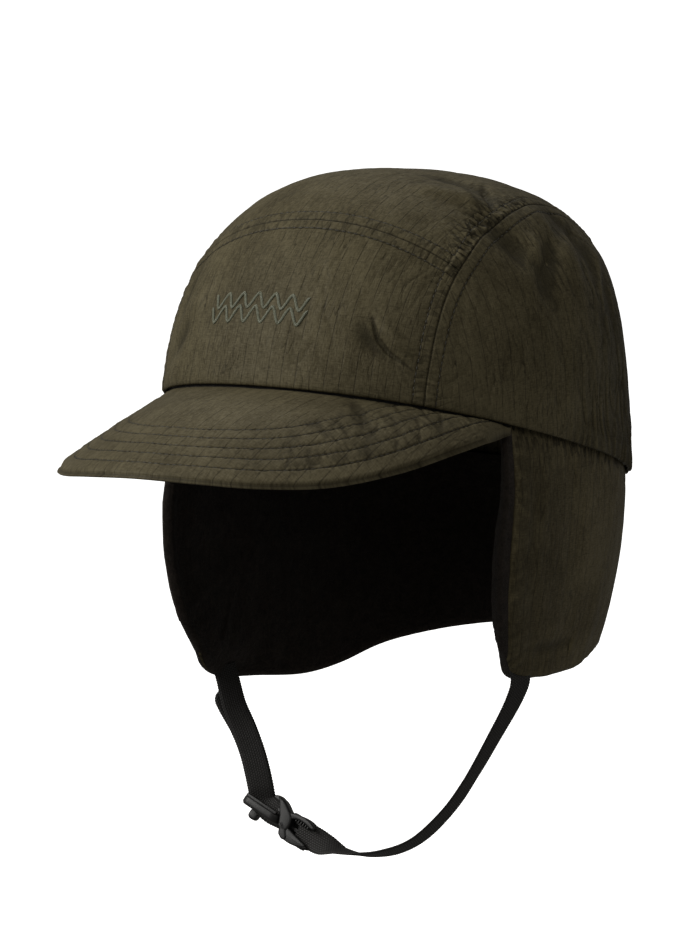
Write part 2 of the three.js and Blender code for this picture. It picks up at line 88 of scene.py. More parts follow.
FLAP_INSET = 2.4
FLAP_ABOVE = 8
FLAP_REACH = 95
FLAP_FRONT_ANGLE = 64.5
TAPER_BACK = 25
FLAP_SIDES = {
    "left": {"swing": 0, "flare": 8, "taper": 13},
    "right": {"swing": 6, "flare": 9, "taper": 2.5},
}
SWING_FULL_AT = 63
SWING_GONE_AT = 92
SWING_FULL_DROP = 0.4
FLARE_FULL_AT = 0.45
LINING_THICKNESS = 7
# How many degrees the fleece reaches past the shell's front edges, one more than in the source
LINING_PROUD = 3
# In the looks alone, the left flap's front edge leans forward by these millimetres, by height.
FRONT_LEAN = {
    "z": [-90, -85, -79, -74.6, -68, -57, -42, -30.5, -20, 0],
    "mm": [6.6, 5.8, 4.8, 3.4, 1.1, -1.2, -2.7, -2.4, -1, 0],
}
# The lower edge of the flaps and the neck, with fuller front corners than the source's.
LOWER_EDGE = {
    "angle": [63, 64.5, 68, 72, 80, 95, 110, 125, 140, 155, 170, 180],
    "left": [-79, -82, -87, -89, -90.4, -91, -90.6, -87.4, -83.8, -81.5, -81, -81],
    "right": [-75, -80.5, -91, -95.5, -99, -100.5, -100.5, -97, -90.5, -86, -82.5, -81],
}


# Small helpers


def unit(vectors):
    return vectors / np.linalg.norm(vectors, axis=-1, keepdims=True)


def smooth(edge0, edge1, value):
    """0 below edge0, 1 above edge1 and smooth between them."""
    t = np.clip((value - edge0) / (edge1 - edge0), 0, 1)
    return t * t * (3 - 2 * t)


def bump(distance, width):
    """1 at no distance, falling to almost nothing at about twice the width."""
    return np.exp(-((distance / width) ** 2))


def look_up(table, over, name, at):
    """Smooth values between a table's rows, by cubic pieces."""
    xs = np.array(table[over], float)
    ys = np.array(table[name], float)
    before = np.maximum(np.arange(len(xs)) - 1, 0)
    after = np.minimum(np.arange(len(xs)) + 1, len(xs) - 1)
    slopes = (ys[after] - ys[before]) / (xs[after] - xs[before])
    i = np.clip(np.searchsorted(xs, at) - 1, 0, len(xs) - 2)
    span = xs[i + 1] - xs[i]
    t = np.clip((at - xs[i]) / span, 0, 1)
    t2 = t * t
    t3 = t2 * t
    start = ys[i] * (2 * t3 - 3 * t2 + 1) + slopes[i] * span * (t3 - 2 * t2 + t)
    return start + ys[i + 1] * (3 * t2 - 2 * t3) + slopes[i + 1] * span * (t3 - t2)


SHUFFLED = np.tile(np.random.default_rng(11).permutation(256), 2)
SLOPES = np.array(
    [(x, y, z) for x in (-1, 0, 1) for y in (-1, 0, 1) for z in (-1, 0, 1) if abs(x) + abs(y) + abs(z) == 2],
    float,
)
# How far the noise of one seed lies from that of the next, and what brings it to about -1 to 1.
SEED_STEP = 17.3
NOISE_GAIN = 1.4


def noise(points, size, seed):
    """Smooth noise from about -1 to 1, with bumps about as wide as size, which may differ by axis."""
    scaled = points / np.array(size, float) + seed * SEED_STEP
    cell = np.floor(scaled).astype(int)
    inside = scaled - cell
    fade = inside**3 * (inside * (inside * 6 - 15) + 10)
    total = np.zeros(points.shape[:-1])
    for corner in np.ndindex(2, 2, 2):
        corner = np.array(corner)
        x, y, z = np.moveaxis((cell + corner) & 255, -1, 0)
        slope = SLOPES[SHUFFLED[SHUFFLED[SHUFFLED[x] + y] + z] % len(SLOPES)]
        weight = np.where(corner == 1, fade, 1 - fade).prod(-1)
        total += weight * (slope * (inside - corner)).sum(-1)
    return total * NOISE_GAIN


def arc_lengths(points, axis):
    """How far each point of a grid lies along one of its two axes."""
    steps = np.linalg.norm(np.diff(points, axis=axis), axis=-1)
    first = np.zeros_like(np.take(steps, [0], axis=axis))
    return np.concatenate([first, np.cumsum(steps, axis=axis)], axis=axis)


def grid_normals(points):
    """Normals of a grid of points, on the side that looks along the first axis crossed with the second."""
    along = np.gradient(points, axis=0)
    up = np.gradient(points, axis=1)
    return unit(np.cross(along, up))


# The crown's smooth form

# A ray's reach is more than the crown's size. Halved this often, it is well under a thousandth.
RAY_REACH = 160.0
RAY_HALVINGS = 26


def opening_radius(angle):
    length = np.where(np.cos(angle) > 0, OPENING["front"], OPENING["back"])
    power = OPENING["power"]
    across = np.abs(np.sin(angle)) / OPENING["half_width"]
    along = np.abs(np.cos(angle)) / length
    return (across**power + along**power) ** (-1 / power)


def crown_level(p):
    """Below 1 inside the crown, 1 on its outer face and above 1 outside."""
    t = np.maximum(p[..., 2], 0) / CROWN_HEIGHT
    y = p[..., 1] - CROWN_LEAN * t
    angle = np.arctan2(p[..., 0], -y)
    share = np.abs(np.cos(angle))
    front = y < 0
    powers = []
    for k in (0, 1):
        end = np.where(front, CROWN_POWERS["front"][k], CROWN_POWERS["back"][k])
        powers.append(CROWN_POWERS["side"][k] * (1 - share) + end * share)
    rise, spread = powers
    return (np.hypot(p[..., 0], y) / opening_radius(angle)) ** spread + t**rise


def crown_normal(p):
    step = 0.05
    slopes = [crown_level(p + step * axis) - crown_level(p - step * axis) for axis in np.eye(3)]
    return unit(np.stack(slopes, -1))


def on_crown(origin, direction):
    """Where rays from points inside meet the smooth crown, found by halving a long reach."""
    origin, direction = np.broadcast_arrays(origin, unit(direction))
    near = np.zeros(origin.shape[:-1])
    far = np.full(origin.shape[:-1], RAY_REACH)
    for _ in range(RAY_HALVINGS):
        middle = (near + far) / 2
        inside = crown_level(origin + middle[..., None] * direction) < 1
        near = np.where(inside, middle, near)
        far = np.where(inside, far, middle)
    return origin + near[..., None] * direction


def rim_height(y):
    return RIM_HEIGHT - RIM_SLOPE * y


def rim_direction(angle):
    return np.stack([np.sin(angle), -np.cos(angle), RIM_SLOPE * np.cos(angle)], -1)


def rim_point(angle):
    return on_crown(HEAD_CENTRE, rim_direction(angle))


def strip_point(across, lift):
    """A point between the side seams: across from -1 to 1, lift from 0 to 180 degrees."""
    half_width = look_up(SIDE_SEAM, "lift", "half_width", lift)
    angle = np.radians(lift) + math.atan(RIM_SLOPE)
    zero = np.zeros_like(lift)
    origin = np.stack([across * half_width, zero, zero + RIM_HEIGHT], -1)
    return on_crown(origin, np.stack([zero, -np.cos(angle), np.sin(angle)], -1))


def side_point(side, lift, share):
    """A point of a side panel: lift from 0 to 180 along its seam, share from the rim 0 to the seam 1."""
    seam = strip_point(1.0, lift)
    rim = rim_point(np.radians(SIDE_PANEL_ANGLES[0] + np.ptp(SIDE_PANEL_ANGLES) * lift / 180))
    chord = rim + (seam - rim) * share[..., None]
    return on_crown(HEAD_CENTRE, chord - HEAD_CENTRE) * (side, 1, 1)


# Folds and creases of the soft crown

# Broad folds: middle, direction, reach along and across, and depth.
FOLDS = {
    "middle": [(47.5, -80.5, 37), (52, -76, 31), (64, -20, 76), (67, 8, 74), (66, 28, 66), (40, -24, 92),
               (36, -8, 96), (-44, -83, 38), (-66, -14, 74), (-67, 16, 71), (20, 92, 30), (-24, 92, 34)],
    "along": [(0.52, 0.4, -0.75), (0.2, 0.2, -1), (0.5, 0.4, -0.75), (0.45, 0.1, -0.9), (0.35, 0.3, -0.9),
              (0.8, 0.5, -0.35), (0.8, 0.3, -0.3), (-0.4, 0.4, -0.8), (-0.5, 0.3, -0.8), (-0.45, 0.2, -0.85),
              (0.2, 0.1, -1), (-0.2, 0.1, -1)],
    "reach": [16, 12, 24, 26, 24, 16, 16, 15, 24, 24, 26, 24],
    "width": [4.5, 4, 6, 6, 6, 5, 5, 5, 6, 6, 7, 7],
    "depth": [-2.2, 1.6, -2.4, 2.2, -2.2, 2.2, -2, -2, -2.3, 2.2, -1.3, -0.7],
}
# Creases: each from one point to the next, with its width and its depth.
CREASES = [
    {"line": [(42, -80, 50), (45, -80.6, 42.5), (49, -79.5, 37.4), (56.5, -74.2, 30.4)],
     "width": 0.8, "depth": -1.6},
    {"line": [(51, -79, 35.5), (54, -76.5, 29), (56, -75, 22)], "width": 0.8, "depth": -0.6},
    {"line": [(45, -78, 47), (50, -76, 41), (57, -71, 36)], "width": 2.2, "depth": 1.2},
    {"line": [(44, -83, 36), (50, -81, 31), (56, -76, 26)], "width": 3, "depth": 0.9},
    {"line": [(38, 0, 95), (46.6, -9.2, 91.2), (52.5, -15.3, 86.7)], "width": 1.8, "depth": -1.6},
    {"line": [(35, -14, 95.5), (45, -21, 90), (52, -25, 85)], "width": 3, "depth": 1.2},
    {"line": [(57, 21, 82.5), (68.7, 0.7, 71.8), (74.9, -11.6, 57.6)], "width": 5, "depth": -2.2},
    {"line": [(63.4, -1, 78.5), (69.6, -14.4, 68.1), (73, -22, 58)], "width": 4, "depth": 1.3},
    {"line": [(58.2, 29.9, 79.1), (66.4, 21.4, 72.1), (72, 15, 60)], "width": 2.5, "depth": -1.6},
    {"line": [(62, 40, 70), (69, 33, 62), (75, 26, 50)], "width": 3.5, "depth": 1.5},
    {"line": [(69, -49, 44.5), (74.6, -43.4, 28.8), (78, -35, 18)], "width": 5, "depth": -0.8},
    {"line": [(-51, -76, 41), (-49, -70, 56), (-46, -64, 66)], "width": 4, "depth": -1.3},
    {"line": [(-38, -87, 37), (-36, -81, 53), (-34, -75, 65)], "width": 4.5, "depth": 0.9},
    {"line": [(-63, -55, 45), (-70, -45, 30), (-76, -35, 18)], "width": 5, "depth": -1.2},
    {"line": [(-58, 28, 79), (-68, 8, 71), (-75, -8, 57)], "width": 5, "depth": -2},
]
# The rim's seam holds the cloth flat up to about this height over it.
RIM_HOLDS_FOLDS = 16
# Flutes at the back of the rim, finer than the source's: from where to where they grow, in degrees.
BACK_GATHERS = {"from": 68, "full_from": 102, "flutes": 104, "depth": 1.2, "reach": 15}


def line_distance(points, line):
    """How far each point is from a line of straight stretches, and where along it, from 0 to 1."""
    line = np.array(line, float)
    nearest = np.full(points.shape[:-1], np.inf)
    place = np.zeros(points.shape[:-1])
    stretches = len(line) - 1
    for k in range(stretches):
        run = line[k + 1] - line[k]
        t = np.clip((points - line[k]) @ run / (run @ run), 0, 1)
        far = np.linalg.norm(points - line[k] - t[..., None] * run, axis=-1)
        closer = far < nearest
        nearest = np.where(closer, far, nearest)
        place = np.where(closer, (k + t) / stretches, place)
    return nearest, place


def crease_height(points, widest=99):
    """How far the creases up to a width lower or lift the cloth."""
    height = np.zeros(points.shape[:-1])
    for crease in CREASES:
        if crease["width"] <= widest:
            far, place = line_distance(points, crease["line"])
            swell = np.sin(np.pi * np.clip(place, 0.04, 0.96)) ** 0.6
            height += crease["depth"] * bump(far, crease["width"]) * swell
    return height


def fold_height(points):
    """How far the cloth stands proud of the smooth crown, for its folds, creases and gathered back."""
    height = np.zeros(points.shape[:-1])
    for middle, along, reach, width, depth in zip(*FOLDS.values()):
        offset = points - np.array(middle)
        direction = unit(np.array(along))
        far = offset @ direction
        across = np.linalg.norm(offset - far[..., None] * direction, axis=-1)
        height += depth * bump(far, reach) * bump(across, width)
    height += crease_height(points)
    above = np.maximum(points[..., 2] - rim_height(points[..., 1]), 0)
    height *= 1 - bump(above, RIM_HOLDS_FOLDS)
    angle = np.arctan2(points[..., 0], -points[..., 1])
    share = smooth(BACK_GATHERS["from"], BACK_GATHERS["full_from"], np.degrees(np.abs(angle)))
    wander = 2 * noise(points, 14, 3)
    flute = np.abs(np.sin(angle * BACK_GATHERS["flutes"] / 2 + wander)) ** 0.7
    flute *= 0.7 + 0.6 * noise(points, 9, 5)
    return height - BACK_GATHERS["depth"] * share * np.exp(-above / BACK_GATHERS["reach"]) * flute


# Meshes


def mesh_object(name, points, faces, layers=None, marks=None):
    """A smooth-shaded mesh from points in millimetres.

    The layers are coordinates on the cloth for each point, and the marks are plain numbers for each point.
    """
    mesh = bpy.data.meshes.new(name)
    mesh.from_pydata((np.asarray(points) * MM).tolist(), [], faces)
    corner = np.zeros(len(mesh.loops), int)
    mesh.loops.foreach_get("vertex_index", corner)
    for layer_name, values in (layers or {}).items():
        layer = mesh.uv_layers.new(name=layer_name)
        layer.data.foreach_set("uv", (np.asarray(values)[corner] * MM).ravel())
    for mark, values in (marks or {}).items():
        mesh.attributes.new(mark, "FLOAT", "POINT").data.foreach_set("value", np.asarray(values, float))
    mesh.polygons.foreach_set("use_smooth", [True] * len(mesh.polygons))
    mesh.update()
    piece = bpy.data.objects.new(name, mesh)
    bpy.context.scene.collection.objects.link(piece)
    return piece


def grid_faces(columns, rows, flip, start=0):
    """Quads between the points of a grid, whose first point has the number start."""
    i, j = np.meshgrid(np.arange(columns - 1), np.arange(rows - 1), indexing="ij")
    corner = start + i * rows + j
    quads = np.stack([corner, corner + rows, corner + rows + 1, corner + 1], -1).reshape(-1, 4)
    return (quads[:, ::-1] if flip else quads).tolist()


# How many steps around a point are its surroundings, and how far above or below them is full.
HOLLOW_REACH = 8
HOLLOW_FULL = 0.3


def hollows(height):
    """Where a grid's relief is lower than what is around it, 0, or higher, 1. Even ground is 0.5. Low values
    give the cloth painted shade and high values painted light.
    """
    level = height
    for _ in range(HOLLOW_REACH):
        wide = np.pad(level, 1, "edge")
        level = (wide[:-2, 1:-1] + wide[2:, 1:-1] + wide[1:-1, :-2] + wide[1:-1, 2:] + level) / 5
    return np.clip(0.5 + (height - level) / HOLLOW_FULL / 2, 0, 1)


def wall_object(name, face, back, cloth, relief=None, seam=None, gathers=None, step=4, flip=False, shade=0.0):
    """A closed wall between two grids of the same size: a fine face, and a back with every so many points.

    The face looks along axis 0 crossed with axis 1, or away from that if it is flipped. Relief is its
    height, seam its place along and away from the nearest seam, and gathers how much it is gathered there,
    for painted pleat shade and highlights. Shade is painted shade below 0 and painted light above.
    """
    columns, rows = face.shape[:2]
    count = columns * rows
    some_columns = np.unique(np.append(np.arange(0, columns, step), columns - 1))
    some_rows = np.unique(np.append(np.arange(0, rows, step), rows - 1))
    wide, high = len(some_columns), len(some_rows)
    faces = grid_faces(columns, rows, flip) + grid_faces(wide, high, not flip, count)
    # Each rim face joins one edge of the back to the fine edges that it faces.
    for line, edge, fixed_fine, fixed_back in (
        (some_columns, 0, 0, 0), (some_columns, 0, rows - 1, high - 1),
        (some_rows, 1, 0, 0), (some_rows, 1, columns - 1, wide - 1),
    ):
        for k in range(len(line) - 1):
            fine = np.arange(line[k], line[k + 1] + 1)
            pair = np.array([k, k + 1])
            if edge == 0:
                ring = list(fine * rows + fixed_fine) + list(count + pair[::-1] * high + fixed_back)
            else:
                ring = list(fixed_fine * rows + fine) + list(count + fixed_back * high + pair[::-1])
            turned = (edge == 0) == (fixed_fine == 0)
            faces.append(tuple(int(i) for i in (ring[::-1] if turned != flip else ring)))
    chosen = np.ix_(some_columns, some_rows)

    def both(values, behind):
        size = values.shape[2:]
        if behind is None:
            rear = values[chosen].reshape(-1, *size)
        else:
            rear = np.full((wide * high, *size), behind)
        return np.concatenate([values.reshape(-1, *size), rear])

    # The hollow mark is painted shade in the relief's dips and painted light on its ridges, with the given
    # painted shade added.
    level = np.zeros((columns, rows))
    marks = {"hollow": both(shade + (0.5 + level if relief is None else hollows(relief)), 0.5),
             "gathers": both(level if gathers is None else gathers, 0.0)}
    layers = {"cloth": both(cloth, None),
              "seam": both(np.stack([level, level + FAR_AWAY], -1) if seam is None else seam, FAR_AWAY)}
    points = np.concatenate([face.reshape(-1, 3), back[chosen].reshape(-1, 3)])
    return mesh_object(name, points, faces, layers, marks)


def distance_to(points, line):
    """How far each point is from a dense line of points, and how far along the line that is."""
    flat = points.reshape(-1, 3)
    leap = 8
    batch = 4000
    coarse = line[::leap]
    parts = np.array_split(flat, len(flat) // batch + 1)
    rough = np.concatenate([((part[:, None] - coarse) ** 2).sum(-1).argmin(1) for part in parts]) * leap
    around = np.clip(rough[:, None] + np.arange(-leap, leap + 1), 0, len(line) - 1)
    nearest = around[np.arange(len(flat)), ((flat[:, None] - line[around]) ** 2).sum(-1).argmin(1)]
    length = arc_lengths(line, 0)
    far = np.full(len(flat), np.inf)
    along = np.zeros(len(flat))
    for step in (-1, 0):
        k = np.clip(nearest + step, 0, len(line) - 2)
        run = line[k + 1] - line[k]
        t = np.clip(((flat - line[k]) * run).sum(-1) / (run * run).sum(-1), 0, 1)
        off = np.linalg.norm(flat - line[k] - t[:, None] * run, axis=-1)
        closer = off < far
        far = np.where(closer, off, far)
        along = np.where(closer, length[k] + t * (length[k + 1] - length[k]), along)
    return far.reshape(points.shape[:-1]), along.reshape(points.shape[:-1])


def ripple(a, b, size_a, size_b, seed):
    """Smooth noise over two lengths, with its own size along each."""
    return noise(np.stack([a, b, np.zeros_like(a) + 0.37], -1), (size_a, size_b, 1), seed)


def sharp_lines(a, b, size_a, size_b, seed, width):
    """Thin grooves where smooth noise passes zero, -1 along their middles."""
    return -np.exp(-np.abs(ripple(a, b, size_a, size_b, seed)) / width)


def sunk_edge(far, radius, most):
    """How far a face sinks towards its edge so that the edge is round."""
    t = 1 - np.clip(far / radius, 0, 1)
    return most * (1 - np.sqrt(1 - t * t))


def fine_ends(count, strength=0.65):
    """Numbers from 0 to 1 that lie closer together near both ends."""
    t = np.linspace(0, 1, count)
    return t - strength * np.sin(2 * np.pi * t) / (2 * np.pi)


def crinkle(across, up, seed):
    """Small upright creases of thin nylon cloth, as waves and sharp grooves."""
    lean = 6 * ripple(across, up, 30, 45, seed + 4)
    broad = ripple(across + lean, up, 9, 34, seed)
    middle = sharp_lines(across + lean, up, 7, 26, seed + 1, 0.07)
    fine = sharp_lines(across + lean, up, 3.6, 15, seed + 2, 0.09)
    slant = sharp_lines(across + 0.45 * up, up - 0.3 * across, 9, 30, seed + 5, 0.05)
    uneven = np.clip(0.5 + 1.1 * ripple(across, up, 22, 26, seed + 3), 0.1, 1)
    return 0.4 * broad + uneven * (0.42 * middle + 0.24 * fine) + (1 - uneven) * 0.3 * slant


def laid_grid(us, vs):
    return np.meshgrid(us, vs, indexing="ij")


# The crown's seams

# How far each row of stitches lies from its seam, and the stitches themselves
SEAM_STITCH = 4.6
STITCH_PITCH = 2.6
STITCH_LENGTH = 1.9
STITCH_RADIUS = 0.2
STITCH_RINGS = 5
STITCH_SIDES = 6
STITCH_PROUD = 0.05
# A seam's relief: its groove, the band beside it, the dip at its stitches, and the cloth drawn in
# puckers on the band and in pleats past it.
GROOVE_DEPTH = 0.2
BAND_HEIGHT = 0.22
DIP_DEPTH = 0.25
PUCKERS = 0.45
PLEATS = 0.55
# How much every seam is gathered, and how much more its band is marked as gathered, for painted pleat shade
# and highlights without relief.
GATHERED = 0.12
BAND_PAINTED_PLEATS = 0.28
# Each seam's stretch of the seam coordinate starts this far on, so that no two look alike.
SEAM_APART = 400


def cross_seam(seam):
    across = np.linspace(-1, 1, 160)
    return strip_point(across, seam["lift"] + seam["skew"] * across)


side_line = strip_point(1.0, np.linspace(0, 180, 480))
# Gathered gives places along a seam where it is more gathered: middle, reach and how much.
SEAMS = [
    {"points": side_line, "gathered": [(84, 28, 1.1), (300, 40, 0.3)]},
    {"points": side_line * (-1, 1, 1), "gathered": [(84, 28, 0.35), (300, 40, 0.2)]},
    {"points": cross_seam(FRONT_SEAM)},
    {"points": cross_seam(BACK_SEAM)},
]
RIM_LINE = rim_point(np.linspace(-np.pi, np.pi, 700))


def seam_relief(far, along, seed, gathered):
    """A groove at the seam, a raised band on each side, a dip at each stitch row and puckers around.

    Gathered says how much the cloth beside the seam is drawn up into pleats.
    """
    groove = -GROOVE_DEPTH * bump(far, 0.5)
    band = BAND_HEIGHT * (1 - smooth(SEAM_STITCH - 0.2, SEAM_STITCH + 0.6, far)) * smooth(0, 0.7, far)
    dip = -DIP_DEPTH * bump(far - SEAM_STITCH, 0.45)
    strength = 0.2 + 0.2 * ripple(along, far, 20, 30, seed + 9) + 1.7 * gathered
    inside = ripple(along, far, 1.4, 4, seed) * smooth(0.2, 1.2, far) * (1 - smooth(4, 5, far))
    slip = along + 0.35 * far * np.sign(ripple(along, 0 * far, 9, 1, seed + 3))
    pleats = 0.35 + sharp_lines(slip, far, 3.0, 14, seed + 5, 0.16)
    outside = pleats * smooth(4.3, 5.2, far) * np.exp(-np.maximum(far - 5, 0) / 5.5)
    return groove + band + dip + strength * (PUCKERS * inside + PLEATS * outside)


def crown_relief(points):
    """How far the crown's cloth stands proud of the smooth crown, and its seam coordinates and gathers."""
    height = fold_height(points)
    nearest = np.full(points.shape[:-1], FAR_AWAY)
    place = np.zeros(points.shape[:-1])
    gathers = np.zeros(points.shape[:-1])
    over_top = np.abs(points[..., 0]) < look_up(SIDE_SEAM, "lift", "half_width", lift_of(points))
    for seed, seam in enumerate(SEAMS):
        far, along = distance_to(points, seam["points"])
        gathered = np.full(far.shape, GATHERED)
        for middle, reach, most in seam.get("gathered", []):
            gathered += most * bump(along - middle, reach) * np.where(over_top, 1, 0.1)
        height += seam_relief(far, along, 20 + 7 * seed, gathered)
        closer = far < nearest
        nearest = np.where(closer, far, nearest)
        place = np.where(closer, along + SEAM_APART * seed, place)
        # The band beside each seam gets painted pleat shade and highlights through the gathers mark alone.
        band = BAND_PAINTED_PLEATS * smooth(5.4, 4.8, far) * np.where(over_top, 1, 0.4)
        gathers = np.maximum(gathers, gathered * np.exp(-np.maximum(far - 5, 0) / 5) + band)
    far, along = distance_to(points, RIM_LINE)
    height += 0.3 * (1 - smooth(3, 9, far)) - sunk_edge(far, 1.6, 0.9)
    return height, np.stack([place, nearest], -1), gathers


def lift_of(points):
    """How far round a point lies between the side seams, in degrees up from the front rim."""
    angle = np.degrees(np.arctan2(points[..., 2] - RIM_HEIGHT, -points[..., 1]))
    return np.clip(angle - math.degrees(math.atan(RIM_SLOPE)), 0, 180)


# How much painted shade folds give the cloth for each millimetre, and how much more creases up to a width
# give.
FOLD_SHADE = 0.3
SHARP_SHADE = 0.4
SHARP_WIDTH = 1.8
# Painted light on the sides towards the front, and painted shade towards the back.
FRONT_LIGHTER = 0.3
BACK_DARKER = 0.46
# How deep the cloth is crinkled between the side seams and on the side panels.
STRIP_CRINKLED = 0.6
SIDE_CRINKLED = 1.5


def crown_piece(name, points, across, up, seed, crinkled):
    """A panel of the crown: its outer face carries the folds and seams, its inner face is smoother."""
    normal = crown_normal(points)
    height, seam, gathers = crown_relief(points)
    far_rim, _ = distance_to(points, RIM_LINE)
    nearest = np.minimum(seam[..., 1], far_rim + 2)
    away = smooth(SEAM_STITCH + 0.5, SEAM_STITCH + 6, nearest)
    height = height + crinkled * away * crinkle(across, up, seed)
    outer = points + normal * height[..., None]
    inner_height = np.minimum(fold_height(points) - CLOTH + sunk_edge(far_rim, 1.0, 0.25), height - 0.35)
    inner = points + normal * inner_height[..., None]
    cloth = np.stack([across, up], -1)
    # Painted shade in the folds, and more in the sharp creases.
    shade = FOLD_SHADE * np.minimum(fold_height(points), 0)
    shade += SHARP_SHADE * np.minimum(crease_height(points, SHARP_WIDTH), 0)
    # Painted light makes the sides a little lighter towards the front, and painted shade makes them darker
    # towards the back.
    y = points[..., 1]
    towards_back = FRONT_LIGHTER * smooth(-10, -60, y) - BACK_DARKER * smooth(-20, 60, y)
    shade += towards_back * smooth(45, 68, np.abs(points[..., 0]))
    return wall_object(name, outer, inner, cloth, height, seam, gathers, shade=shade)


def strip_piece(name, start, end, columns, rows, seed):
    across, v = laid_grid(2 * fine_ends(columns) - 1, fine_ends(rows))
    first = start["lift"] + start["skew"] * across
    last = end["lift"] + end["skew"] * across
    points = strip_point(across, first + (last - first) * v)
    wide = arc_lengths(points, 0)
    up = arc_lengths(points, 1)
    return crown_piece(name, points, wide - wide[columns // 2], up + start["lift"], seed, STRIP_CRINKLED)


def side_piece(name, side, columns, rows, seed):
    lift, share = laid_grid(180 * fine_ends(columns, 0.3), fine_ends(rows))
    points = side_point(side, lift, share)
    across = points[..., 1] * side
    up = points[..., 2] + 0.6 * (OPENING["half_width"] - np.abs(points[..., 0]))
    if side < 0:
        points, across, up = points[::-1], across[::-1], up[::-1]
    return crown_piece(name, points, across, up, seed, SIDE_CRINKLED)


# Lines of stitches


def stitch_mesh(name, centres, runs, normals):
    """Short round-ended threads in one mesh, each along its run and half sunk in the cloth."""
    rings, sides = STITCH_RINGS, STITCH_SIDES
    runs = unit(runs)
    wide = unit(np.cross(normals, runs))
    t = np.linspace(-1, 1, rings)
    swell = np.sqrt(np.maximum(1 - np.abs(t) ** 3, 0.02))
    angle = np.arange(sides) * 2 * np.pi / sides
    ring = np.cos(angle)[:, None, None] * wide + np.sin(angle)[:, None, None] * normals
    thread = swell[:, None, None, None] * ring * STITCH_RADIUS
    points = centres + t[:, None, None, None] * runs * STITCH_LENGTH / 2 + thread
    points = np.moveaxis(points, 2, 0)
    count = rings * sides
    faces = []
    one = []
    for r in range(rings - 1):
        for s in range(sides):
            n = (s + 1) % sides
            one.append((r * sides + s, r * sides + n, (r + 1) * sides + n, (r + 1) * sides + s))
    one.append(tuple(range(sides))[::-1])
    one.append(tuple((rings - 1) * sides + s for s in range(sides)))
    for k in range(len(centres)):
        faces += [tuple(i + k * count for i in face) for face in one]
    return mesh_object(name, points.reshape(-1, 3), faces)


def evenly(line, jitter, seed):
    """Places for stitches along a dense line, each a little off its even place, and their directions."""
    length = arc_lengths(line, 0)
    random = np.random.default_rng(seed)
    at = np.arange(STITCH_PITCH / 2, length[-1], STITCH_PITCH)
    at = at + random.uniform(-jitter, jitter, len(at))

    def values(places, count):
        return np.stack([np.interp(places, length, line[:, k]) for k in range(count)], -1)

    return values(at, line.shape[1]), values(at + 0.5, 3) - values(at - 0.5, 3)


def crown_stitches(name):
    """A row of stitches on each side of each of the crown's seams."""
    centres, runs = [], []
    for seed, seam in enumerate(SEAMS):
        line = seam["points"]
        normal = crown_normal(line)
        sideways = unit(np.cross(normal, np.gradient(line, axis=0)))
        for side in (-1, 1):
            row = on_crown(HEAD_CENTRE, line + side * SEAM_STITCH * sideways - HEAD_CENTRE)
            place, ahead = evenly(row, 0.15, 40 + 2 * seed + side)
            centres.append(place)
            runs.append(ahead)
    centres = np.concatenate(centres)
    runs = np.concatenate(runs)
    height, _, _ = crown_relief(centres)
    # A row ends at a seam that it meets, and no stitch hangs below the rim.
    far_rim, _ = distance_to(centres, RIM_LINE)
    above = centres[:, 2] > rim_height(centres[:, 1])
    clear = np.ones(len(centres), bool)
    for seam in SEAMS:
        far, _ = distance_to(centres, seam["points"])
        clear &= far > SEAM_STITCH - 0.35
    kept = clear & above & (far_rim > 1.2)
    normal = crown_normal(centres)
    centres = centres + normal * (height + STITCH_PROUD)[:, None]
    return stitch_mesh(name, centres[kept], runs[kept], normal[kept])


# The visor

# Rows of stitches, by their distance from the visor's edge.
VISOR_ROWS = [7, 13, 19, 25, 31]
# A soft fold of the visor's cloth, from the crown out.
VISOR_FOLD = [(39, -90), (50, -99), (61, -107)]
VISOR_FOLD_DEPTH = 0.9
# The visor's edge is rounded over this radius.
VISOR_EDGE_RADIUS = 1.6
# How far each row of stitches draws the cloth down, and puffs it up beside the row.
ROW_DIP = 0.3
ROW_PUFF = 0.2


def smooth_curve(rows, t):
    """The source's curve through the rows: t from 0 to 1, shared evenly between them."""
    rows = np.asarray(rows, float)
    line = np.concatenate([[2 * rows[0] - rows[1]], rows, [2 * rows[-1] - rows[-2]]])
    place = np.asarray(t) * (len(rows) - 1)
    k = np.minimum(place.astype(int), len(rows) - 2)
    w = (place - k)[:, None]
    a, b, c, d = (line[k + i] for i in range(4))
    ab, bc, cd = (np.linalg.norm(q - p, axis=-1, keepdims=True) ** 0.5 for p, q in ((a, b), (b, c), (c, d)))
    leave = ((b - a) / ab - (c - a) / (ab + bc) + (c - b) / bc) * bc
    arrive = ((c - b) / bc - (d - b) / (bc + cd) + (d - c) / cd) * bc
    return b + leave * w + (3 * (c - b) - 2 * leave - arrive) * w**2 + (2 * (b - c) + leave + arrive) * w**3


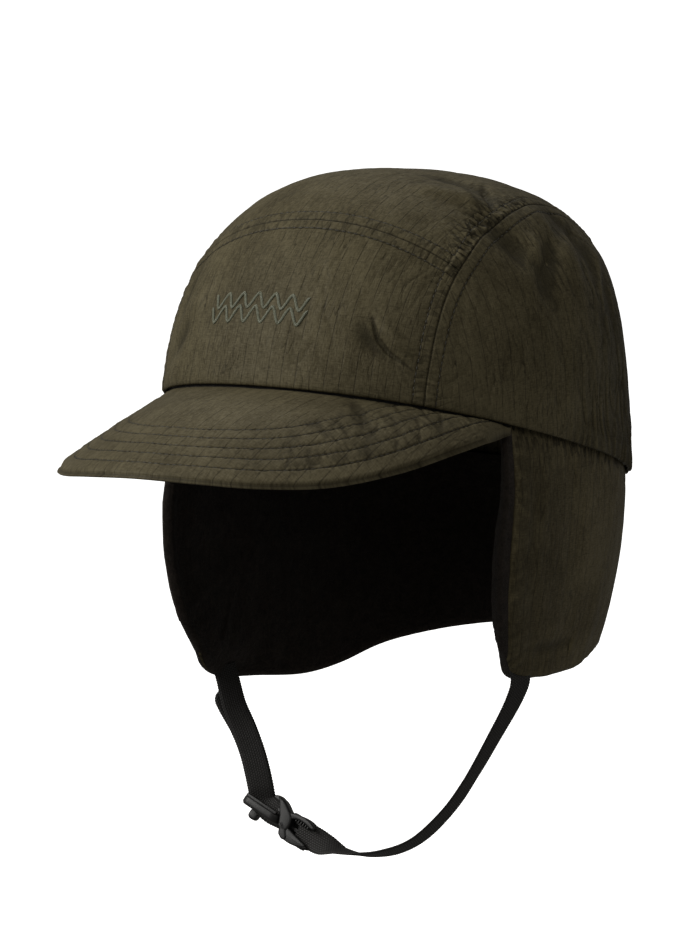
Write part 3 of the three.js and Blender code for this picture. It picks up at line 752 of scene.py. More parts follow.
def visor_grid(us, vs):
    """The visor's smooth upper face, u from the left end to the right and v from the crown out."""
    half = np.stack([VISOR_EDGE["x"], VISOR_EDGE["y"], VISOR_EDGE["z"]], -1)
    dense = smooth_curve(np.concatenate([half[::-1], half[1:] * (-1, 1, 1)]), np.linspace(0, 1, 1500))
    length = arc_lengths(dense, 0)
    edge = np.stack([np.interp(us * length[-1], length, dense[:, k]) for k in range(3)], -1)
    angle = np.radians(VISOR_END_ANGLE * (1 - 2 * us))
    inner = rim_point(angle)
    level = crown_normal(inner) * (1, 1, 0)
    inner = inner - CLOTH * unit(level) - (0, 0, 1)
    u, v = laid_grid(us, vs)
    points = inner[:, None] + (edge - inner)[:, None] * v[..., None]
    # The right side is flatter and hangs a little lower, as worn.
    bulge = VISOR_BULGE * np.sin(np.pi * v) * (1 - np.abs(2 * u - 1) ** 6) * (1 - smooth(0.55, 0.78, u))
    hang = RIGHT_HANG * v**2 * smooth(0.72, 0.84, u) * (1 - smooth(0.95, 1, u))
    points = points + (bulge - hang)[..., None] * (0, 0, 1)
    # The two ends tuck in under the crown's rim.
    tuck = VISOR_TUCK * (1 - smooth(0, 0.07, np.minimum(u, 1 - u)))
    return points - tuck[..., None] * unit(level)[:, None], edge


def contour(values, level, grids):
    """Where a value last falls past a level along axis 1, for each line of axis 0 where it does."""
    found = []
    for i, row in enumerate(values):
        passes = np.nonzero((row[:-1] > level) & (row[1:] <= level))[0]
        if len(passes):
            j = passes[-1]
            t = (row[j] - level) / (row[j] - row[j + 1])
            found.append([grid[i, j] * (1 - t) + grid[i, j + 1] * t for grid in grids])
    return [np.array(column) for column in zip(*found)]


def visor_fold(points):
    """How deep in the visor's fold each point lies, from 0 to 1."""
    far, place = line_distance(points[..., :2], VISOR_FOLD)
    return bump(far, 3) * np.sin(np.pi * np.clip(place, 0.1, 0.9))


def visor_rounding(far):
    return sunk_edge(far, VISOR_EDGE_RADIUS, VISOR_THICKNESS / 2 - 0.1)


def visor_relief(points, far, along):
    """Rows of stitches pull the visor's cloth down, with soft puffs between them."""
    height = -visor_rounding(far) - VISOR_FOLD_DEPTH * visor_fold(points)
    inward = np.abs(points[..., 0])
    for k, row in enumerate(VISOR_ROWS):
        height -= ROW_DIP * bump(far - row, 0.4)
        height -= 0.08 * bump(far - row, 1.5)
        near_row = bump(far - row, 2.6)
        height += ROW_PUFF * near_row * ripple(along, far, 1.7, 5, 60 + k)
    channels = (far > VISOR_ROWS[0]) & (far < VISOR_ROWS[-1])
    creased = channels * smooth(25, 60, inward)
    height += 0.55 * creased * (0.4 + sharp_lines(along + 0.5 * far, far, 9, 16, 71, 0.14))
    height += 0.25 * ripple(points[..., 0], points[..., 1], 22, 30, 72)
    return height + 0.2 * crinkle(points[..., 0], points[..., 1], 74)


def row_distance(far):
    return np.min([np.abs(far - row) for row in VISOR_ROWS], axis=0)


def visor_pieces():
    points, edge = visor_grid(fine_ends(300, 0.2), 1 - fine_ends(170, 0.5)[::-1])
    far, along = distance_to(points, edge)
    normal = grid_normals(points)
    height = visor_relief(points, far, along)
    outer = points + normal * height[..., None]
    under = 0.25 * sum(bump(far - row, 0.9) for row in VISOR_ROWS)
    inner = points - (0, 0, VISOR_THICKNESS) + normal * (visor_rounding(far) + under)[..., None]
    wide = points[..., 0]
    cloth = np.stack([wide, points[..., 1]], -1)
    seam = np.stack([along, row_distance(far)], -1)
    gathers = bump(row_distance(far), 3) * (0.1 + 0.25 * smooth(20, 60, np.abs(wide)))
    # Painted shade darkens the visor's fold, and the cloth in patches among the near rows, where it is drawn
    # together.
    patches = smooth(18, 55, wide) * smooth(VISOR_ROWS[0], VISOR_ROWS[0] + 2, far) * smooth(40, 30, far)
    patches *= np.clip(0.45 + 1.1 * ripple(wide, points[..., 1], 9, 7, 75), 0, 1)
    shade = -0.55 * visor_fold(points) - 0.4 * patches
    visor = wall_object("visor_cloth", outer, inner, cloth, height, seam, gathers, 2, shade=shade)
    centres, runs, normals = [], [], []
    for k, row in enumerate(VISOR_ROWS):
        line, facing = contour(far, row, [outer, normal])
        place, ahead = evenly(np.concatenate([line, facing], 1), 0.12, 80 + k)
        centres.append(place[:, :3])
        runs.append(ahead)
        normals.append(unit(place[:, 3:]))
    centres, runs, normals = (np.concatenate(part) for part in (centres, runs, normals))
    return visor, stitch_mesh("visor_stitches", centres + STITCH_PROUD * normals, runs, normals)


# The sweatband


def sweatband_piece():
    u, v = laid_grid(fine_ends(170, 0.3), fine_ends(26))
    angle = np.radians(SWEATBAND["end_angle"]) * (2 * u - 1)
    rise = -SWEATBAND["below"] + (SWEATBAND["above"] + SWEATBAND["below"]) * v
    centre = np.stack([0 * u, 0 * u, RIM_HEIGHT + rise], -1)
    points = on_crown(centre, rim_direction(angle))
    normal = crown_normal(points)
    outline = np.concatenate([points[:, 0], points[-1], points[::-1, -1], points[0, ::-1]])
    far, _ = distance_to(points, outline)
    sunk = sunk_edge(far, 0.7, CLOTH / 2 - 0.05)
    height = np.minimum(fold_height(points), 0) - SWEATBAND["inset"]
    along = arc_lengths(points, 0)
    wave = 0.12 * ripple(along, rise, 6, 20, 91) - 0.15 * bump(far - 2, 0.5)
    outer = points + normal * (height - sunk)[..., None]
    inner = points + normal * (height - CLOTH + sunk - wave)[..., None]
    return wall_object("sweatband_tape", outer, inner, np.stack([along, rise], -1))


# The ear flaps and the neck


def band_point(angle, z, inset):
    """A point of the band round the ears and the neck, from the left front on to the right front."""
    left = np.sin(angle) > 0
    right = FLAP_SIDES["right"]
    side = {name: np.where(left, value, right[name]) for name, value in FLAP_SIDES["left"].items()}
    radius = opening_radius(angle) - inset
    drop = np.maximum(rim_height(-radius * np.cos(angle)) - z, 0) / FLAP_REACH
    front = np.clip(np.cos(angle) / FLARE_FULL_AT, 0, 1)
    back = np.clip(-np.cos(angle), 0, 1)
    taper = (side["taper"] + (TAPER_BACK - side["taper"]) * back) * drop * drop
    flare = side["flare"] * front * 4 * drop * np.maximum(1 - drop, 0)
    from_front = np.degrees(np.abs(np.arctan2(np.sin(angle), np.cos(angle))))
    near_edge = np.clip((SWING_GONE_AT - from_front) / (SWING_GONE_AT - SWING_FULL_AT), 0, 1)
    share = near_edge * np.minimum(drop / SWING_FULL_DROP, 1) * np.sign(np.sin(angle))
    swing = np.radians(side["swing"]) * share
    reach = radius + flare - taper
    return np.stack([reach * np.sin(angle - swing), -reach * np.cos(angle - swing), z], -1)


def lower_edge(degrees):
    fold = np.minimum(degrees, 360 - degrees)
    left = look_up(LOWER_EDGE, "angle", "left", fold)
    return np.where(degrees < 180, left, look_up(LOWER_EDGE, "angle", "right", fold))


def band_grid(proud, columns, rows):
    """Angles and heights over the whole band, with its columns closer together at the front edges.

    Proud is how many degrees it reaches past the shell's front edges.
    """
    start, end = FLAP_FRONT_ANGLE - proud, 360 - FLAP_FRONT_ANGLE + proud
    degrees, v = laid_grid(start + (end - start) * fine_ends(columns, 0.75), fine_ends(rows, 0.75))
    bottom = lower_edge(np.clip(degrees, FLAP_FRONT_ANGLE - 1.5, 360 - FLAP_FRONT_ANGLE + 1.5))
    angle = np.radians(degrees)
    top = rim_height(-opening_radius(angle) * np.cos(angle)) + FLAP_ABOVE
    z = bottom + (top - bottom) * v
    # The left flap's soft front edge leans forward halfway down and back again at its corner.
    lean = np.interp(z, FRONT_LEAN["z"], FRONT_LEAN["mm"]) / OPENING["half_width"]
    fading = np.clip((SWING_GONE_AT - degrees) / (SWING_GONE_AT - FLAP_FRONT_ANGLE), 0, 1.1) ** 1.3
    return angle + lean * fading, z


def outline_of(points):
    """The band's free edge: down one front, along the bottom and up the other front."""
    return np.concatenate([points[0, ::-1], points[1:, 0], points[-1, 1:]])


# Depths and heights of the shell's gathers under the crown, its waves, its crinkles and its hollow.
SHELL_RELIEF = {"hem": 0.35, "gathers": 1.0, "waves": 0.5, "crinkles": 0.55, "hollow": 0.9}
# How much the shell is marked as gathered, for its painted pleat shade, and how its painted shade grows from
# its front edges back.
SHELL_GATHERED = 0.8
SHELL_SHADE = {"growth": 0.62, "over": 80, "at_edge": -0.42}


def flap_shell_piece():
    angle, z = band_grid(0, 380, 100)
    points = band_point(angle, z, FLAP_INSET)
    normal = grid_normals(points)
    far, along = distance_to(points, outline_of(points))
    below = rim_height(points[..., 1]) - z
    across = arc_lengths(points[:, -20:-19], 0)[:, 0][:, None] + np.zeros_like(z)
    height = -sunk_edge(far, 2.6, 2.2)
    depth = SHELL_RELIEF
    height += depth["hem"] * ripple(along, far, 2.6, 6, 101) * np.exp(-far / 5) * smooth(0, 1.5, far)
    flutes = 0.5 + 0.5 * ripple(across, z, 3.2, 40, 102)
    height -= depth["gathers"] * np.exp(-np.maximum(below, 0) / 7) * flutes
    waves = depth["waves"] * ripple(across, z, 16, 60, 103)
    height += waves + depth["crinkles"] * crinkle(across, z, 104) * smooth(1, 6, far)
    # A soft hollow runs down beside the left flap's rolled front edge.
    left_front = (np.sin(angle) > 0) * (np.cos(angle) > -0.2)
    height -= depth["hollow"] * bump(far - 12, 4) * smooth(6, 30, below) * left_front
    outer = points + normal * height[..., None]
    inner = points + normal * np.minimum(height - 0.5, -CLOTH)[..., None]
    seam = np.stack([across, np.maximum(below, 0) + 5], -1)
    gathers = SHELL_GATHERED * np.exp(-np.maximum(below, 0) / 8)
    # Painted shade makes the cloth darker beside its front edges.
    from_front = np.minimum(across, across.max() - across)
    shade = SHELL_SHADE["growth"] * smooth(0, SHELL_SHADE["over"], from_front) + SHELL_SHADE["at_edge"]
    cloth = np.stack([across, z], -1)
    return wall_object("flap_shell_cloth", outer, inner, cloth, height, seam, gathers, shade=shade)


# The gap between the shell and the fleece
SHELL_GAP = 0.3
# The fleece is this much thinner at its top, and grows by this much over this drop.
FLEECE_THINNER = 2.5
FLEECE_GROWTH = 3.6
FLEECE_GROWN_AT = 45
# At the right flap's free edge it rolls outwards by this much, and is thinner by this share.
ROLL = 1.5
ROLL_THINNER = 0.75
# Its inner face rises at the left flap's lower front corner.
CORNER_RISE = 5


def fleece_piece():
    angle, z = band_grid(LINING_PROUD, 420, 120)
    inset = FLAP_INSET + CLOTH + SHELL_GAP
    # The right flap's free edge is a thin soft roll that hides the shell's edge.
    plain = band_point(angle, z, inset)
    from_edge, _ = distance_to(plain, outline_of(plain))
    right = smooth(70, 35, arc_lengths(plain[::-1], 0)[::-1])
    roll = ROLL * right * bump(from_edge, 3.4)
    points = band_point(angle, z, inset - roll)
    drop = rim_height(points[..., 1]) - z
    thickness = LINING_THICKNESS - FLEECE_THINNER + FLEECE_GROWTH * smooth(0, FLEECE_GROWN_AT, drop)
    thickness = thickness * (1 - ROLL_THINNER * right * bump(from_edge, 8)) + roll
    rise = CORNER_RISE * bump(arc_lengths(points, 0), 11) * np.exp(-(z - z[:, :1]) / 9)
    inside = band_point(angle, z + rise, inset + thickness)
    normal = grid_normals(points)
    far, along = distance_to(points, outline_of(points))
    pile = 0.22 * noise(points, (1.3, 1.3, 1.3), 111) + 0.14 * noise(points, (0.7, 0.7, 0.7), 112)
    sunk = sunk_edge(far, 2.4, 2.0)
    face = 0.5 * ripple(along, far, 9, 14, 113) * smooth(0, 5, far)
    slight = sunk_edge(far, 1.4, 1.1)
    outer = points + normal * (pile * 0.7 - slight)[..., None]
    soft = 0.6 * noise(inside, (26, 26, 30), 114) + face + pile
    inner = inside - normal * (soft - sunk - 0.3)[..., None]
    return wall_object("flap_fleece", inner, outer, np.stack([along, far], -1), flip=True)


# The chin strap's webbing

WEBBING_WIDTH = 10
WEBBING_THICKNESS = 1.2
# Ribs across the webbing, and the lanes that it has on each side of its middle.
RIB_PITCH = 1.05
RIB_HEIGHT = 0.12
EDGE_WOBBLE = 0.1
LANES = 6
# Points of the dense line that each strap's lengths are measured on.
STRAP_POINTS = 2000
# Each strap's middle line: x, y, z and turn, which is 0 with its width along Y and 90 with its face
# to the front. Their starts and their ends at the buckle are the looks' own.
STRAPS = {
    "chin_strap_left": [
        (65.2, -16.5, -84, 14), (66.2, -16.5, -90.5, 14), (64.2, -17, -97, 11), (54.6, -18, -114, 4),
        (44.6, -18, -129.5, 0), (35, -18, -142, 4), (20.5, -18, -155, 10), (8, -18, -160.8, 17),
        (-5, -18, -163.2, 14), (-16.5, -18, -162.6, -4), (-23, -18, -161.2, -42),
        (-29, -18.2, -158.8, -70), (-35.2, -18.7, -156, -70),
    ],
    "chin_strap_right": [
        (-70.6, -19.3, -94, 26), (-68.8, -19, -99.6, 28), (-66, -18.6, -109.5, 34), (-61.8, -18, -118.5, 44),
        (-58, -18, -127, 50), (-55.2, -18.3, -135, 52), (-53.6, -18.4, -141, 52), (-52.6, -17.9, -146.4, 53),
        (-48.7, -17.6, -149.9, 66), (-43.1, -17.25, -152, 70),
    ],
    "strap_free_end": [
        (-73, -17.4, -104.2, 26), (-69.8, -16.8, -110, 32), (-64, -16, -118.5, 44), (-59.4, -16.2, -127, 50),
        (-56.5, -16.5, -134.5, 52), (-54.6, -16.7, -141, 52), (-53.6, -16.4, -147, 52),
    ],
}


def strap_piece(node, rounded_start):
    """Flat webbing with raised ribs across it, on the same kind of curve as the source's."""
    rows = np.array(STRAPS[node], float)
    even = np.linspace(0, 1, STRAP_POINTS)
    length = arc_lengths(smooth_curve(rows[:, :3], even), 0)
    count = int(length[-1] / RIB_PITCH * 4)
    at = np.linspace(0, length[-1], count)
    t = np.interp(at, length, even)
    path = smooth_curve(rows[:, :3], t)
    tangent = unit(np.gradient(path, axis=0))
    turn = np.radians(np.interp(t * (len(rows) - 1), np.arange(len(rows)), rows[:, 3]))
    flat = unit(np.stack([-tangent[:, 2], 0 * turn, tangent[:, 0]], -1))
    wide = unit(np.array([0, 1, 0]) * np.cos(turn)[:, None] + flat * np.sin(turn)[:, None])
    thick = unit(np.cross(tangent, wide))
    across = np.linspace(-1, 1, 2 * LANES + 1)
    half = np.full(count, WEBBING_WIDTH / 2)
    if rounded_start:
        near = np.clip(1 - at / (WEBBING_WIDTH / 2), 0, 1)
        half = half * np.sqrt(np.maximum(1 - near**2, 0.04))
    # Each rib bulges, and its neighbour across the webbing stands half a rib further on.
    lane = np.round((across + 1) * LANES)
    rib = RIB_HEIGHT * np.abs(np.sin(np.pi * (at[:, None] / RIB_PITCH + lane / 2)))
    edge = np.sqrt(np.maximum(1 - np.abs(across) ** 6, 0))
    body = (WEBBING_THICKNESS / 2 - 0.1 + rib) * np.maximum(edge, 0.12)
    at_edge = (np.abs(across) > 0.99) * np.sign(across)
    wobble = EDGE_WOBBLE * np.sin(2 * np.pi * at / RIB_PITCH)[:, None] * at_edge
    place = path[:, None] + wide[:, None] * (across * half[:, None] + wobble)[..., None]
    front = place + thick[:, None] * body[..., None]
    rear = place - thick[:, None] * body[..., None]
    uv = np.stack([across * half[:, None], at[:, None] + 0 * across], -1)
    return wall_object(f"{node}_webbing", front, rear, uv, step=1)


# The side-release buckle, drawn flat: X along the strap, Y across it and Z through it

BUCKLE_PLACE = (-43, -18, -151.5)
BUCKLE_ALONG = (0.905, 0, -0.425)
BUCKLE_TURN = 70
# Points of the buckle closer than this, in metres, are one.
SAME_POINT = 0.00001


def rounded(x0, x1, y0, y1, radius):
    """A rectangle's outline with round corners."""
    steps = 7
    corners = [(x1 - radius, y1 - radius, 0), (x0 + radius, y1 - radius, 90),
               (x0 + radius, y0 + radius, 180), (x1 - radius, y0 + radius, 270)]
    points = []
    for x, y, start in corners:
        for k in range(steps + 1):
            a = math.radians(start + 90 * k / steps)
            points.append((x + radius * math.cos(a), y + radius * math.sin(a)))
    return points


def soft_outline(points, steps):
    """A closed smooth outline through a few points."""
    line = np.array(points, float)
    count = len(line)
    dense = []
    for k in range(count):
        a, b, c, d = (line[(k + i - 1) % count] for i in range(4))
        for s in range(steps):
            t = s / steps
            dense.append(tuple(0.5 * (2 * b + (c - a) * t + (2 * a - 5 * b + 4 * c - d) * t**2
                                      + (3 * b - a - 3 * c + d) * t**3)))
    return dense


def plate(outlines, z0, z1, bevel):
    """A flat plate with its edges rounded: the first outline is its edge and the others are holes."""
    curve = bpy.data.curves.new("plate", "CURVE")
    curve.dimensions = "2D"
    curve.fill_mode = "BOTH"
    curve.extrude = ((z1 - z0) / 2 - bevel) * MM
    curve.bevel_depth = bevel * MM
    curve.bevel_resolution = 3
    curve.offset = -bevel * MM
    for outline in outlines:
        spline = curve.splines.new("POLY")
        spline.points.add(len(outline) - 1)
        for point, (x, y) in zip(spline.points, outline):
            point.co = (x * MM, y * MM, 0, 1)
        spline.use_cyclic_u = True
    holder = bpy.data.objects.new("plate", curve)
    mesh = bpy.data.meshes.new_from_object(holder)
    mesh.transform(Matrix.Translation((0, 0, (z0 + z1) / 2 * MM)))
    bpy.data.objects.remove(holder)
    bpy.data.curves.remove(curve)
    return mesh


def joined(name, meshes):
    """One piece from several meshes, placed as the buckle."""
    along = Vector(BUCKLE_ALONG).normalized()
    flat = Vector((-along.z, 0, along.x))
    turn = math.radians(BUCKLE_TURN)
    wide = (Vector((0, math.cos(turn), 0)) + flat * math.sin(turn)).normalized()
    through = along.cross(wide).normalized()
    place = Matrix((along, wide, through)).transposed().to_4x4()
    place.translation = Vector(BUCKLE_PLACE) * MM
    pool = bmesh.new()
    for mesh in meshes:
        pool.from_mesh(mesh)
        bpy.data.meshes.remove(mesh)
    bmesh.ops.remove_doubles(pool, verts=pool.verts, dist=SAME_POINT)
    bmesh.ops.triangulate(pool, faces=pool.faces)
    whole = bpy.data.meshes.new(name)
    pool.to_mesh(whole)
    pool.free()
    whole.transform(place)
    for polygon in whole.polygons:
        polygon.use_smooth = True
    piece = bpy.data.objects.new(name, whole)
    bpy.context.scene.collection.objects.link(piece)
    return piece


def buckle_socket_piece():
    """The socket: a waisted shell whose two arms open towards the strap that is sewn into it."""
    top = [(-3.4, 5.6), (-1.4, 4.9), (0.4, 3.5), (2.4, 3.0), (4.6, 3.4), (7.2, 4.2), (11, 4.5),
           (14.2, 3.9), (16, 2.8)]
    bottom = [(16.2, -5.2), (14, -6.4), (11.1, -7.2), (7.5, -7.4), (4.2, -6.9), (3.2, -6.3)]
    mouth = [(2.4, -4.8), (0.8, -2), (-1.2, 2)]
    inside = [(14.6, 1.9), (11, 2.4), (8, 2.3), (5.4, 1.2), (4.4, -0.6), (5.8, -2.2), (9.4, -3.2),
              (15.2, -4.2)]
    back = soft_outline(top + bottom + mouth, 4)
    collar = soft_outline([(1.2, -2.2), (2.6, -3.8), (4.4, -6.8), (6.4, -7.4), (7.4, -6.4), (5.4, -3.6),
                           (3.2, -1.4)], 4)
    saddle = soft_outline([(-4.6, 5.8), (-3.2, 4), (-1.8, 2), (0.3, -1), (2, -4.2), (4.8, -4.8),
                           (6.2, -2.4), (5.6, 0.6), (4, 2.6), (1.4, 4.2), (-1.6, 5.7)], 4)
    meshes = [
        plate([back], -2.8, -0.7, 0.6),
        plate([soft_outline(top + inside + bottom + mouth, 4)], 0.8, 3.0, 0.6),
        plate([saddle], -1.6, 3.5, 0.9),
        plate([collar], -1.6, 3.5, 0.5),
        plate([rounded(4, 15, -7, -5.6, 0.6)], -1.6, 1.4, 0.3),
        plate([rounded(4, 14, 2.6, 4, 0.6)], -1.6, 1.4, 0.3),
    ]
    # Ribs across the inner wall, where a thumb would press.
    for k in range(6):
        x = 6.6 + 1.2 * k
        meshes.append(plate([rounded(x, x + 0.6, 1.2, 2.9, 0.25)], 0.4, 2.4, 0.2))
    return joined("buckle_socket_body", meshes)


def buckle_insert_piece():
    """The insert: an upright loop that the other strap runs down through, and prongs inside the socket."""
    loop = plate([rounded(-18.2, 0.8, -4.4, 4.4, 4.1), rounded(-16.4, -4, -2.3, 2.3, 2.0)], -1.9, 1.9, 1.2)
    loop.transform(Matrix.Rotation(math.pi / 2, 4, "X"))
    loop.transform(Matrix.Translation((0, -2.3 * MM, 0)))
    hump = soft_outline([(-9.6, 1.5), (-9, 4.8), (-5.4, 6), (-1, 4.4), (1, 1), (-1.5, -2)], 6)
    shoulder = plate([hump], -3.4, -1.3, 0.7)
    bar = plate([rounded(-13.8, -9.4, -8, -3.8, 1.6)], -2.6, 0.4, 0.9)
    lip = plate([rounded(-16.5, -1, -0.9, 0.3, 0.5)], 3.3, 4.6, 0.3)
    meshes = [loop, lip, shoulder, bar]
    for y in (-2.6, 0.4):
        meshes.append(plate([rounded(-3.4, 9.4, y, y + 1.6, 0.6)], -0.5, 0.7, 0.3))
    return joined("buckle_insert_body", meshes)


# The embroidery on the front panel: two plain zigzag lines

EMBROIDERY = {
    "middle": -3, "front": 91.2, "height": 52.8, "length": 46, "peaks": 6, "rise": 3.6, "apart": 6.4,
    "width": 1.25, "thickness": 0.84, "strand": 0.45,
}
EMBROIDERY_STEPS = 460
EMBROIDERY_SIDES = 12
# The zigzag's corners are rounded by taking this share of half a sine wave.
CORNER_SHARE = 2.35


def embroidery_piece():
    size = EMBROIDERY
    columns, sides = EMBROIDERY_STEPS, EMBROIDERY_SIDES
    points, faces, uvs = [], [], []
    for row in (-0.5, 0.5):
        t = np.linspace(0, 1, columns)
        x = size["middle"] + size["length"] * (t - 0.5)
        saw = 2 * np.abs(2 * ((t * size["peaks"]) % 1) - 1) - 1
        saw = np.sin(saw * np.pi / CORNER_SHARE) / np.sin(np.pi / CORNER_SHARE)
        z = size["height"] + size["rise"] * saw + row * size["apart"]
        aim = np.stack([x, 0 * x - size["front"], z], -1) - HEAD_CENTRE
        line = on_crown(HEAD_CENTRE, aim)
        normal = crown_normal(line)
        height, _, _ = crown_relief(line)
        line = line + normal * (height + STITCH_PROUD)[:, None]
        run = unit(np.gradient(line, axis=0))
        wide = unit(np.cross(normal, run))
        along = arc_lengths(line, 0)
        taper = np.sqrt(np.clip(np.minimum(t, 1 - t) * 60, 0.03, 1))
        thread = 1 + 0.07 * np.sin(2 * np.pi * along / size["strand"])
        thread += 0.05 * ripple(along, 0 * along, 1.1, 1, 121)
        angle = np.arange(sides) * 2 * np.pi / sides
        sideways = wide[:, None] * np.cos(angle)[:, None] * size["width"] / 2
        ring = sideways + normal[:, None] * np.sin(angle)[:, None] * size["thickness"] / 2
        start = sum(len(part) for part in points)
        tube = line[:, None] + ring * (taper * thread)[:, None, None]
        points.append(tube.reshape(-1, 3))
        uvs.append(np.stack([along[:, None] + 0 * angle, 0 * along[:, None] + angle], -1).reshape(-1, 2))
        for i in range(columns - 1):
            for s in range(sides):
                n = (s + 1) % sides
                a, b = start + i * sides, start + (i + 1) * sides
                faces.append((a + s, b + s, b + n, a + n))
        faces.append(tuple(start + s for s in range(sides)))
        faces.append(tuple(start + (columns - 1) * sides + s for s in range(sides))[::-1])
    return mesh_object("front_embroidery", np.concatenate(points), faces, {"cloth": np.concatenate(uvs)})


# Materials


class Nodes:
    """A material with short calls for its nodes. Lengths in the cloth coordinate are in millimetres."""

    def __init__(self, name):
        self.material = bpy.data.materials.new(name)
        self.material.use_nodes = True
        self.tree = self.material.node_tree
        self.shader = self.tree.nodes["Principled BSDF"]

    def put(self, socket, value):
        if isinstance(value, bpy.types.NodeSocket):
            self.tree.links.new(value, socket)
        else:
            socket.default_value = value

    def node(self, kind, output=0, inputs=None, **settings):
        node = self.tree.nodes.new(kind)
        for key, value in settings.items():
            setattr(node, key, value)
        for key, value in (inputs or {}).items():
            self.put(node.inputs[key], value)
        return node.outputs[output]

    def math(self, operation, a, b=0.0):
        return self.node("ShaderNodeMath", inputs={0: a, 1: b}, operation=operation)

    def plus(self, a, b):
        return self.math("ADD", a, b)

    def minus(self, a, b):
        return self.math("SUBTRACT", a, b)

    def times(self, *values):
        """The product of two values or more."""
        product = values[0]
        for value in values[1:]:
            product = self.math("MULTIPLY", product, value)
        return product

    def weighted(self, *pairs):
        """The sum of values, each times its weight."""
        total = self.times(*pairs[0])
        for pair in pairs[1:]:
            total = self.plus(total, self.times(*pair))
        return total

    def humps(self, value):
        """A row of rounded humps, one for each whole number of the value."""
        return self.math("ABSOLUTE", self.math("SINE", self.times(value, math.pi)))

    def mark(self, name):
        """A number that the mesh has for each point."""
        return self.node("ShaderNodeAttribute", 2, attribute_name=name)

    def coordinate(self, stretch, source):
        """A coordinate of the cloth, or a place on the object, over a size in millimetres along each axis."""
        if source == "object":
            vector = self.node("ShaderNodeTexCoord", "Object")
        else:
            vector = self.node("ShaderNodeUVMap", uv_map=source)
        scale = [1000 / size for size in stretch]
        return self.node("ShaderNodeVectorMath", inputs={0: vector, 1: scale}, operation="MULTIPLY")

    def axis(self, index, stretch=(1, 1, 1), source="cloth"):
        """One axis of a coordinate."""
        return self.node("ShaderNodeSeparateXYZ", index, {0: self.coordinate(stretch, source)})

    def noise(self, stretch, detail, source="cloth", rough=0.6):
        place = self.coordinate(stretch, source)
        inputs = {"Vector": place, "Scale": 1.0, "Detail": detail, "Roughness": rough}
        return self.node("ShaderNodeTexNoise", 0, inputs)

    def ramp(self, value, low, high, to_low=0.0, to_high=1.0):
        inputs = {0: value, 1: low, 2: high, 3: to_low, 4: to_high}
        return self.node("ShaderNodeMapRange", inputs=inputs)

    def mix(self, share, a, b):
        node = self.tree.nodes.new("ShaderNodeMix")
        node.data_type = "RGBA"
        self.put(node.inputs[0], share)
        self.put(node.inputs[6], a)
        self.put(node.inputs[7], b)
        return node.outputs[2]

    def near(self, value, middle, width):
        """1 where a value is at the middle, falling to 0 at the width away from it."""
        off = self.math("ABSOLUTE", self.minus(value, middle))
        return self.ramp(off, 0.0, width, 1.0, 0.0)

    def threads(self, axis, pitch, width, wander, shift, broken, least):
        """Thin wavy threads every pitch along one axis of the cloth, unseen where a noise is below least."""
        stretch = (pitch * 4, 14, 1) if axis == 0 else (14, pitch * 4, 1)
        place = self.plus(self.axis(axis), self.times(self.noise(stretch, 2.0), wander))
        place = self.math("FRACT", self.plus(self.math("DIVIDE", place, pitch), shift))
        seen = self.ramp(self.noise(broken, 2.0), least, least + 0.16)
        return self.times(self.near(place, 0.5, width / pitch), seen)

    def fold(self, stretch, width, source="cloth"):
        """Crisp creases: how much painted shade on one side of each, and how much painted highlight on its
        other side.
        """
        value = self.noise(stretch, 1.5, source, 0.5)
        dark = self.ramp(value, 0.5 - width, 0.5)
        light = self.ramp(value, 0.5 + width, 0.5)
        past = self.math("GREATER_THAN", value, 0.5)
        return self.times(dark, self.minus(1.0, past)), self.times(light, past)

    def finish(self, colour, roughness, height, strength, distance, **settings):
        """The material, with bumps of a strength and a distance in metres, and plain shader settings."""
        inputs = {"Strength": strength, "Distance": distance, "Height": height}
        bump_node = self.node("ShaderNodeBump", inputs=inputs)
        self.put(self.shader.inputs["Base Color"], colour)
        self.put(self.shader.inputs["Roughness"], roughness)
        self.put(self.shader.inputs["Normal"], bump_node)
        for name, value in settings.items():
            self.shader.inputs[name.replace("_", " ")].default_value = value
        return self.material


def rgb(red, green, blue):
    return (red, green, blue, 1.0)


# How far apart the nylon's thicker threads lie, in millimetres.
THREAD_PITCH = 5.7


